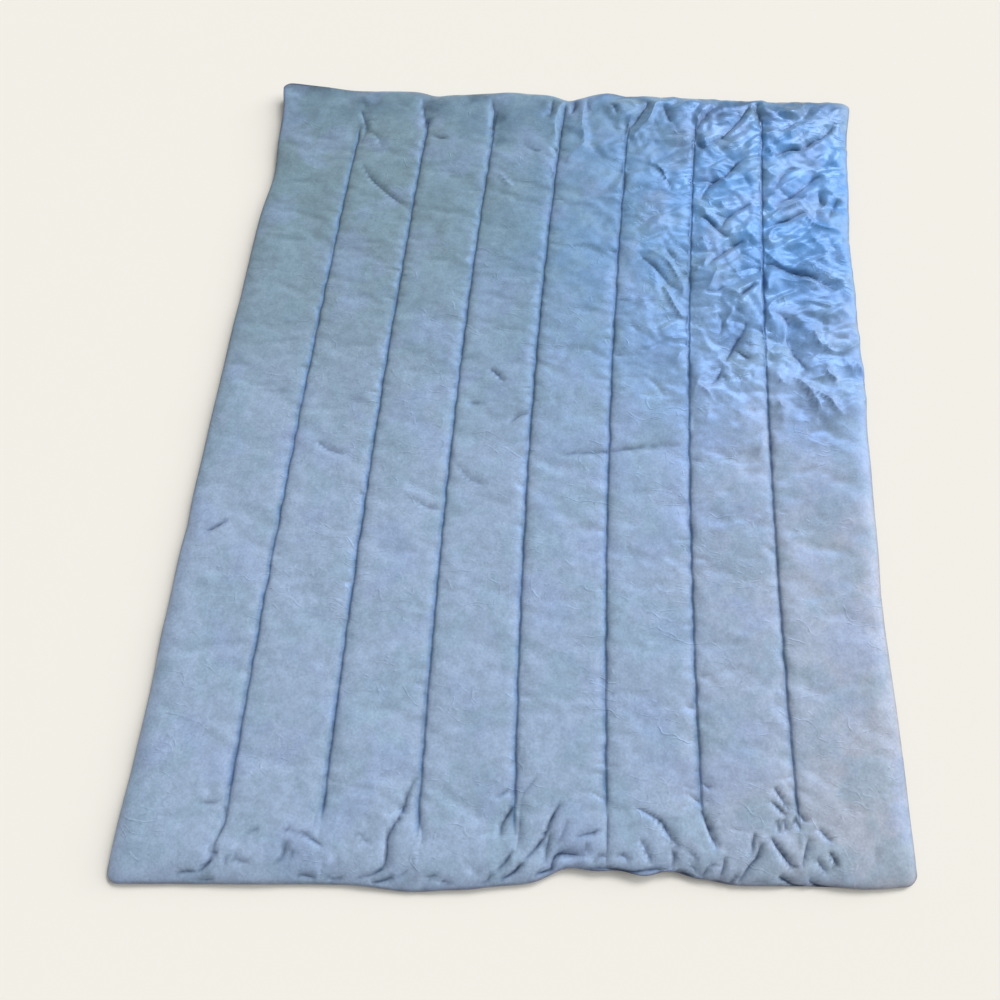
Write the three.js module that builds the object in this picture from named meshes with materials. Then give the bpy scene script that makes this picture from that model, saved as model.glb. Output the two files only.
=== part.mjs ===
import * as THREE from 'three';

// Comforter: a thin quilt of two cloth panels with fill between them, lying spread out on a floor.
// Seven lengthwise seams sew it into eight channels, and a turned seam closes its rim.
// Millimetres, +Z up, head end towards +Y. While the shape is worked out, x = 0 is the middle seam.
// At the end the quilt is centred, so its origin is the middle of its outline, on the floor.

// Driving sizes
const SEAM_COUNT = 7;
const SEAM_PITCH = 183;
const CROWN = 27;
const SEWN_TOP = 10;
const SEWN_LIFT = 4;
const SEWN_GROOVE = 14;
const RIM_HEIGHT = 7;
const RIM_REACH = 85;
const RIM_TUCK = 26;
const CORNER_RADIUS = 24;
const STITCH_FADE = 46;
const LEAST_THICKNESS = 3;
const CLOTH_BLUE = 0x8fabcc;
const CLOTH_ROUGHNESS = 0.78;

// How the fill stands up beside a seam and inside the rim: the power of the rise, and its fullness
const CHANNEL_RISE = { power: 3, fullness: 0.66 };
const RIM_RISE = { power: 2, fullness: 0.58 };

// Turns rows of numbers into objects with named columns
function table(columns, rows) {
  const names = columns.split(' ');
  return rows.map((row) => Object.fromEntries(names.map((name, i) => [name, row[i]])));
}

// Lengthwise courses: the left edge, the seams and the right edge. Each strays sideways by the
// amounts given near the head, at the middle and near the foot. A seam's stitches stop short of the
// head and foot edges by its two gaps.
const STRAY_AT = 800;
const COURSES = table('x head middle foot gapHead gapFoot', [
  [-757, -3, -5, 0, 0, 0],
  [-3 * SEAM_PITCH, 9, -3, 4, 180, 148],
  [-2 * SEAM_PITCH, 11, -2, 8, 118, 143],
  [-1 * SEAM_PITCH, 11, -6, 10, 106, 132],
  [0, 12, -10, 11, 66, 121],
  [1 * SEAM_PITCH, 10, -10, 6, 128, 128],
  [2 * SEAM_PITCH, 9, -11, 6, 134, 137],
  [3 * SEAM_PITCH, 6, -11, 6, 96, 133],
  [778, 10, -9, -2, 0, 0],
]);
const RIGHT = SEAM_COUNT + 1;

// The four edges, none of them quite straight: soft bumps, out from the quilt or drawn in where a
// seam or the hem pulls. The head and foot edges also run a little askew, as the cloth lies.
const HEAD_LINE = { y: 986, skew: 0.034 };
const FOOT_LINE = { y: -999, skew: 0.082 };
const HEAD_BUMPS = table('at reach out', [
  [-705, 50, 6],
  [-590, 90, -9],
  [-345, 38, -14],
  [-265, 50, -7],
  [-135, 45, 7],
  [30, 40, -17],
  [130, 60, 7],
  [275, 90, 6],
  [590, 50, -4],
]);
const FOOT_BUMPS = table('at reach out', [
  [-165, 80, 12],
  [-60, 50, 5],
  [125, 50, -28],
  [215, 55, -20],
  [315, 45, -18],
  [690, 60, 5],
]);
const LEFT_BUMPS = table('at reach out', [
  [960, 75, 22],
  [640, 90, -9],
  [-345, 40, -3],
  [-760, 130, -4],
]);
const RIGHT_BUMPS = table('at reach out', [
  [1000, 90, 14],
  [560, 110, -6],
  [120, 90, 4],
  [-420, 150, -6],
]);

// The main folds, each a soft ridge (height over 0) or trough (under 0) from one point to another,
// with its half width. They are listed by where they lie on the quilt.
const HEAD_FOLDS = table('x1 y1 x2 y2 width height', [
  [-527, 763, -563, 935, 15, -5],
  [-526, 785, -492, 940, 14, -4],
  [-378, 835, -398, 950, 18, 3],
  [-358, 850, -363, 965, 11, -5],
  [-345, 835, -312, 960, 18, -7],
  [-170, 865, -174, 985, 12, -7],
  [-146, 880, -132, 985, 18, -4],
  [2, 885, 12, 965, 11, 3],
  [20, 905, 43, 985, 13, -7],
  [76, 975, 75, 800, 10, 5],
  [75, 800, 26, 722, 10, 4],
  [198, 850, 212, 985, 13, -6],
  [258, 945, 214, 862, 13, 5],
  [383, 836, 455, 985, 22, -8],
  [440, 885, 520, 990, 15, 5],
  [548, 890, 545, 990, 11, 4],
  [567, 895, 565, 1000, 14, -7],
]);
const UPPER_FOLDS = table('x1 y1 x2 y2 width height', [
  [-509, 698, -387, 555, 11, -4],
  [395, 750, 532, 874, 18, 5],
  [396, 670, 516, 796, 18, -7],
  [420, 660, 542, 770, 13, 4],
  [456, 582, 540, 646, 15, -4],
  [450, 548, 538, 618, 15, 4],
  [471, 438, 402, 598, 13, -5],
  [596, 806, 746, 912, 16, -7],
  [584, 815, 716, 932, 15, 5],
  [570, 725, 680, 784, 13, -4],
  [570, 608, 714, 750, 19, -8],
  [566, 572, 668, 680, 14, 6],
  [596, 436, 726, 346, 42, -7],
  [636, 470, 742, 444, 16, 5],
  [586, 464, 537, 486, 12, 4],
  [542, 292, 624, 366, 14, 5],
  [604, 130, 706, 30, 15, -5],
  [246, 428, 328, 316, 16, -5],
  [284, 378, 338, 272, 13, 4],
  [240, 640, 322, 560, 17, -4],
  [410, 330, 500, 250, 15, -4],
  [92, 560, 150, 690, 18, 3],
]);
const LOWER_FOLDS = table('x1 y1 x2 y2 width height', [
  [50, -126, 175, -102, 11, -5],
  [175, -102, 345, -72, 11, -3],
  [-708, -362, -666, -332, 12, -4],
  [232, -372, 306, -330, 14, -3],
  [-470, -610, -380, -560, 16, -3],
]);
const FOOT_FOLDS = table('x1 y1 x2 y2 width height', [
  [-536, -900, -552, -997, 12, -4],
  [-552, -997, -618, -1036, 11, -5],
  [-414, -955, -421, -1000, 11, -4],
  [-380, -1014, -335, -1016, 11, -4],
  [-182, -822, -224, -940, 12, -5],
  [-224, -940, -222, -986, 11, -5],
  [-222, -986, -284, -1016, 12, -6],
  [-195, -960, -190, -1015, 14, 3],
  [-157, -890, -143, -955, 14, -4],
  [4, -880, -5, -920, 11, -4],
  [25, -868, 28, -932, 11, -5],
  [24, -935, -22, -985, 12, -6],
  [102, -842, 80, -895, 12, -4],
  [80, -895, 34, -972, 12, -6],
  [60, -880, 22, -955, 13, 4],
  [96, -958, 104, -936, 11, -6],
  [104, -936, 166, -931, 11, -6],
  [138, -904, 176, -886, 11, -4],
  [194, -840, 197, -935, 13, -4],
  [240, -945, 330, -940, 12, -5],
  [284, -852, 324, -897, 12, -5],
  [324, -897, 366, -950, 13, -6],
  [376, -829, 402, -900, 13, -6],
  [414, -925, 411, -962, 12, -5],
  [440, -880, 432, -950, 16, 4],
  [490, -880, 450, -958, 13, -6],
  [514, -876, 566, -950, 13, -6],
  [524, -784, 548, -824, 11, -4],
  [530, -835, 540, -868, 11, -4],
  [584, -850, 572, -922, 13, -5],
  [606, -846, 640, -884, 12, -4],
  [600, -903, 622, -945, 13, -5],
  [660, -850, 674, -930, 15, -4],
]);
const FOLDS = [...HEAD_FOLDS, ...UPPER_FOLDS, ...LOWER_FOLDS, ...FOOT_FOLDS];

// Slow waves in the loft, where the fill has settled unevenly: length across and along, and height
const FILL_WAVES = table('across along phase height', [
  [410, 760, 0.6, 1.1],
  [255, 530, 2.1, 0.9],
  [690, 300, 4.4, 0.8],
]);

const lerp = THREE.MathUtils.lerp;
const clamp = THREE.MathUtils.clamp;
const smooth = (t) => THREE.MathUtils.smoothstep(t, 0, 1);

// Sum of soft bumps at a place along an edge
function bumps(rows, along) {
  return rows.reduce((sum, row) => sum + row.out * Math.exp(-(((along - row.at) / row.reach) ** 2)), 0);
}

// Where a course runs at a given y: a parabola through its three strays
function courseX(index, y) {
  const row = COURSES[index];
  const t = y / STRAY_AT;
  const bow = (row.head + row.foot) / 2 - row.middle;
  return row.x + row.middle + (row.head - row.foot) / 2 * t + bow * t * t;
}

const leftEdge = (y) => courseX(0, y) - bumps(LEFT_BUMPS, y);
const rightEdge = (y) => courseX(RIGHT, y) + bumps(RIGHT_BUMPS, y);

// How far a rounded corner draws an end edge in, from the distances to both side edges
function cornerInset(x, y) {
  const nearest = Math.max(0, Math.min(x - leftEdge(y), rightEdge(y) - x));
  const inside = Math.max(0, CORNER_RADIUS - nearest);
  return CORNER_RADIUS - Math.sqrt(CORNER_RADIUS ** 2 - inside ** 2);
}

function headEdge(x) {
  const y = HEAD_LINE.y + HEAD_LINE.skew * x + bumps(HEAD_BUMPS, x);
  return y - cornerInset(x, y);
}

function footEdge(x) {
  const y = FOOT_LINE.y + FOOT_LINE.skew * x - bumps(FOOT_BUMPS, x);
  return y + cornerInset(x, y);
}

// Side-to-side place: a whole number is a course, a fraction lies between two courses
function columnX(column, y) {
  const index = Math.min(Math.floor(column), RIGHT - 1);
  const from = index === 0 ? leftEdge(y) : courseX(index, y);
  const to = index + 1 === RIGHT ? rightEdge(y) : courseX(index + 1, y);
  return lerp(from, to, column - index);
}

// A point of the outline's plan, from its column and its share of the way from foot to head
function plan(column, share) {
  let y = lerp(FOOT_LINE.y, HEAD_LINE.y, share);
  let x = columnX(column, y);
  for (let pass = 0; pass < 3; pass += 1) {
    y = lerp(footEdge(x), headEdge(x), share);
    x = columnX(column, y);
  }
  return { x, y };
}

// Rises steeply from 0 and flattens out at 1, as fill does beside a sewn line
const rise = (t, form) => (1 - (1 - clamp(t, 0, 1)) ** form.power) ** form.fullness;

// Share of full loft that the rim leaves at a point
function rimLoft(x, y) {
  const toEdges = [x - leftEdge(y), rightEdge(y) - x, y - footEdge(x), headEdge(x) - y];
  return toEdges.reduce((loft, distance) => loft * rise(distance / RIM_REACH, RIM_RISE), 1);
}

// How far the nearest seam is, and how much of it is sewn there: 1 on its stitches, 0 well past them
function nearestSeam(x, y, column) {
  const index = clamp(Math.round(column), 1, SEAM_COUNT);
  const row = COURSES[index];
  const pastHead = y - (headEdge(x) - row.gapHead);
  const pastFoot = footEdge(x) + row.gapFoot - y;
  const past = Math.max(pastHead, pastFoot, 0);
  return { distance: Math.abs(x - courseX(index, y)), sewn: 1 - smooth(past / STITCH_FADE) };
}

// Height that one fold adds: a bell across its line that tapers off past its ends
function foldHeight(fold, x, y) {
  const length = Math.hypot(fold.x2 - fold.x1, fold.y2 - fold.y1);
  const alongX = (fold.x2 - fold.x1) / length;
  const alongY = (fold.y2 - fold.y1) / length;
  const along = (x - fold.x1) * alongX + (y - fold.y1) * alongY;
  const across = (x - fold.x1) * alongY - (y - fold.y1) * alongX;
  const past = Math.max(-along, along - length, 0);
  return fold.height * Math.exp(-(across ** 2 + past ** 2) / fold.width ** 2);
}

const foldsAt = (x, y) => FOLDS.reduce((sum, fold) => sum + foldHeight(fold, x, y), 0);

// Uneven settling of the fill
function fillWaves(x, y) {
  const turn = 2 * Math.PI;
  return FILL_WAVES.reduce((sum, wave) => {
    const angle = turn * (x / wave.across + y / wave.along) + wave.phase;
    return sum + wave.height * Math.sin(angle) * Math.cos(turn * y / wave.along);
  }, 0);
}

// Underside: flat on the floor, lifted in a groove along each seam
function undersideZ(x, y, column) {
  const seam = nearestSeam(x, y, column);
  return SEWN_LIFT * seam.sewn * (1 - smooth(seam.distance / SEWN_GROOVE));
}

// Top: full loft inside the rim, drawn down to the stitches along each seam, with folds
function topZ(x, y, column) {
  const rim = rimLoft(x, y);
  const loft = RIM_HEIGHT + (CROWN + fillWaves(x, y) - RIM_HEIGHT) * rim;
  const seam = nearestSeam(x, y, column);
  const arch = rise(seam.distance / (SEAM_PITCH / 2), CHANNEL_RISE);
  const valley = SEWN_TOP + (loft - SEWN_TOP) * arch;
  const sewn = lerp(loft, valley, seam.sewn);
  const folded = sewn + foldsAt(x, y) * lerp(0.45, 1, Math.sqrt(rim));
  return Math.max(folded, undersideZ(x, y, column) + LEAST_THICKNESS);
}

// Spreads the same stops over every channel, with other stops for the two margins beside them
function columnStops(marginStops, channelStops) {
  const left = marginStops;
  const channels = Array.from({ length: SEAM_COUNT - 1 }, (_, i) => channelStops.map((stop) => i + 1 + stop));
  const right = marginStops.map((stop) => RIGHT - stop);
  return [...left, ...channels.flat(), SEAM_COUNT, ...right.reverse()];
}

// Evenly spaced stops from 0 up to but without 1
const evenStops = (count) => Array.from({ length: count }, (_, i) => i / count);

// Stops across the quilt: fine along the gathered ends, coarser between them, plain underneath
const GATHERED = columnStops(
  [0, 0.02, 0.06, 0.12, 0.19, 0.26, 0.33, 0.4, 0.47, 0.54, 0.61, 0.68, 0.75, 0.82, 0.88, 0.94],
  [0, 0.055, 0.12, 0.19, 0.26, 0.33, 0.4, 0.47, 0.54, 0.61, 0.68, 0.75, 0.82, 0.88, 0.945],
);
const OPEN = columnStops(
  [0, 0.025, 0.07, 0.14, 0.23, 0.34, 0.47, 0.61, 0.75, 0.86, 0.955],
  [0, 0.055, 0.16, 0.28, 0.42, 0.58, 0.72, 0.84, 0.945],
);

// Underneath, the stops lie on each seam and a little outside its groove, so what lies between is flat
const GROOVE_STOP = 1.15 * SEWN_GROOVE / SEAM_PITCH;
const TUCK_STOP = 0.12;
const UNDERSIDE = columnStops([TUCK_STOP, 0.5, 1 - GROOVE_STOP], [0, GROOVE_STOP, 1 - GROOVE_STOP]);

// Stops along the quilt, in millimetres in from an end edge, then evenly between the two ends
const LENGTH = HEAD_LINE.y - FOOT_LINE.y;
const END_STOPS = [0, 7, 18, 33, 51, 71, 93, 116, 140];
const ENDS = END_STOPS.at(-1);
const OPEN_FROM = 170;
const LOWER_ROWS = 17;
const UPPER_ROWS = 19;
const UPPER_FROM = 0.6;
const UNDERSIDE_STOPS = [RIM_TUCK, 100, 170];

const footStops = END_STOPS.map((stop) => stop / LENGTH);
const headStops = END_STOPS.map((stop) => 1 - stop / LENGTH).reverse();
const lowerStops = evenStops(LOWER_ROWS).map((t) => lerp(OPEN_FROM / LENGTH, UPPER_FROM, t));
const upperStops = evenStops(UPPER_ROWS).map((t) => lerp(UPPER_FROM, 1 - OPEN_FROM / LENGTH, t));
const openStops = [...lowerStops, ...upperStops, 1 - OPEN_FROM / LENGTH];

const positions = [];
const faces = [];

// Adds one row of points and returns their indices, each with its column as the key
function addRow(share, columns, heightAt) {
  return columns.map((column) => {
    const { x, y } = plan(column, share);
    positions.push(x, y, heightAt(x, y, column));
    return { index: positions.length / 3 - 1, key: column };
  });
}

// Joins two rows with triangles, always going on along the row whose next point comes sooner
function joinRows(lower, upper) {
  let i = 0;
  let j = 0;
  while (i < lower.length - 1 || j < upper.length - 1) {
    const lowerNext = i < lower.length - 1 ? lower[i + 1].key : Infinity;
    const upperNext = j < upper.length - 1 ? upper[j + 1].key : Infinity;
    if (lowerNext <= upperNext) {
      faces.push(lower[i].index, lower[i + 1].index, upper[j].index);
      i += 1;
    } else {
      faces.push(lower[i].index, upper[j + 1].index, upper[j].index);
      j += 1;
    }
  }
}

function joinAll(rows) {
  rows.slice(1).forEach((row, i) => joinRows(rows[i], row));
}

// Gives the points of one side of a boundary keys from 0 to 1, by distance along it
function measured(points) {
  const at = (point) => new THREE.Vector2(positions[3 * point.index], positions[3 * point.index + 1]);
  const steps = points.map((point, i) => (i === 0 ? 0 : at(point).distanceTo(at(points[i - 1]))));
  const total = steps.reduce((sum, step) => sum + step, 0);
  let walked = 0;
  return points.map((point, i) => {
    walked += steps[i];
    return { index: point.index, key: walked / total };
  });
}

// The four sides of a grid of rows, in order round it: foot, right, head, left
function sidesOf(rows) {
  const foot = rows[0];
  const right = rows.map((row) => row.at(-1));
  const head = [...rows.at(-1)].reverse();
  const left = rows.map((row) => row[0]).reverse();
  return [foot, right, head, left].map(measured);
}

const topRows = [
  ...footStops.map((share) => addRow(share, GATHERED, topZ)),
  ...openStops.map((share) => addRow(share, OPEN, topZ)),
  ...headStops.map((share) => addRow(share, GATHERED, topZ)),
];
joinAll(topRows);

const undersideShares = [
  ...UNDERSIDE_STOPS.map((stop) => stop / LENGTH),
  0.3,
  0.5,
  0.7,
  ...UNDERSIDE_STOPS.map((stop) => 1 - stop / LENGTH).reverse(),
];
const undersideRows = undersideShares.map((share) => addRow(share, UNDERSIDE, undersideZ));
joinAll([...undersideRows].reverse());

// The strip from the rim down and in to where the underside meets the floor
const rimSides = sidesOf(topRows);
const tuckSides = sidesOf(undersideRows);
rimSides.forEach((side, i) => joinRows(tuckSides[i], side));

const geometry = new THREE.BufferGeometry();
geometry.setAttribute('position', new THREE.Float32BufferAttribute(positions, 3));
geometry.setIndex(faces);
geometry.computeBoundingBox();
const middle = geometry.boundingBox.getCenter(new THREE.Vector3());
geometry.translate(-middle.x, -middle.y, 0);
geometry.computeVertexNormals();

const cloth = new THREE.MeshStandardMaterial({
  color: CLOTH_BLUE,
  roughness: CLOTH_ROUGHNESS,
  metalness: 0,
});
const quilt = new THREE.Mesh(geometry, cloth);
quilt.name = 'comforter';

const object = new THREE.Group();
object.add(quilt);

export default object;
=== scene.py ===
"""A quilted comforter lying spread out, with its sewn channels, turned rim and chance folds."""

import math

import bpy
import numpy as np
from mathutils import Matrix, Vector


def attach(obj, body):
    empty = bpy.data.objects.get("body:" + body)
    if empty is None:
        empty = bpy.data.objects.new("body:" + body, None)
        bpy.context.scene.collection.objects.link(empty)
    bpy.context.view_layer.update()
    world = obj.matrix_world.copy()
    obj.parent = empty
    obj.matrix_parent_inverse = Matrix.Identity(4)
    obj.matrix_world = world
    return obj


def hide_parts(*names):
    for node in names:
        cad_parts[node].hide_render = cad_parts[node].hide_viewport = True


bl_info = {
    "name": "Quilted Comforter",
    "version": (1, 0, 0),
    "blender": (4, 5, 0),
    "location": "3D View > Sidebar > Comforter",
    "description": "Makes a channel-quilted comforter lying on a floor, with its stitches, light and camera",
    "category": "Add Mesh",
}

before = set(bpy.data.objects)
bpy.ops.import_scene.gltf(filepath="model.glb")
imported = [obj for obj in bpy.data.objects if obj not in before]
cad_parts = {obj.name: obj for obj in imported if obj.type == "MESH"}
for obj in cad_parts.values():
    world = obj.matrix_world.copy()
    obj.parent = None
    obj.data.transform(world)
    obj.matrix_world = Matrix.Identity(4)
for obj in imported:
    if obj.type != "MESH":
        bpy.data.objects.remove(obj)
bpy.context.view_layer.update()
NODE = "comforter"
SHELL = "comforter_shell"
MM = 0.001


# Tables of the shape, in millimetres, with x = 0 on the middle seam and +y towards the head end


def table(columns, rows):
    """Named columns of a short table of lengths, turned from millimetres to metres."""
    values = np.array(rows, float) * MM
    return {name: values[:, i] for i, name in enumerate(columns.split())}


SEAM_PITCH = 183
SEAMS = 7
RIGHT = SEAMS + 1
STRAY_AT = 800 * MM
WANDER = 2.2 * MM

# The left edge, the seams and the right edge, with how far each strays sideways near the head, at the
# middle and near the foot, and how far its stitches stop short of the head and foot edges
COURSES = table("x head middle foot gap_head gap_foot", [
    [-757, -3, -5, 0, 0, 0],
    [-3 * SEAM_PITCH, 9, -3, 4, 180, 148],
    [-2 * SEAM_PITCH, 11, -2, 8, 118, 143],
    [-1 * SEAM_PITCH, 11, -6, 10, 106, 132],
    [0, 12, -10, 11, 66, 121],
    [1 * SEAM_PITCH, 10, -10, 6, 128, 128],
    [2 * SEAM_PITCH, 9, -11, 6, 134, 137],
    [3 * SEAM_PITCH, 6, -11, 6, 96, 133],
    [778, 10, -9, -2, 0, 0],
])

# The head and foot edges run a little askew, and all four edges have soft bumps
HEAD_Y, HEAD_SKEW = 986 * MM, 0.034
FOOT_Y, FOOT_SKEW = -999 * MM, 0.082
HEAD_BUMPS = table("at reach out", [
    [-705, 50, -4],
    [-590, 90, -9],
    [-345, 38, -14],
    [-265, 50, -7],
    [-135, 45, 7],
    [30, 40, -17],
    [130, 60, 7],
    [275, 90, 6],
    [590, 50, -4],
])
FOOT_BUMPS = table("at reach out", [
    [-165, 80, 12],
    [-60, 50, 5],
    [125, 50, -28],
    [215, 55, -26],
    [315, 45, -24],
    [385, 40, -8],
    [690, 60, 5],
])
LEFT_BUMPS = table("at reach out", [
    [960, 75, 18],
    [640, 90, -10],
    [-345, 40, -3],
    [-760, 130, -4],
])
RIGHT_BUMPS = table("at reach out", [
    [1000, 90, 14],
    [560, 110, -6],
    [120, 90, 4],
    [-420, 150, -6],
])

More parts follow.
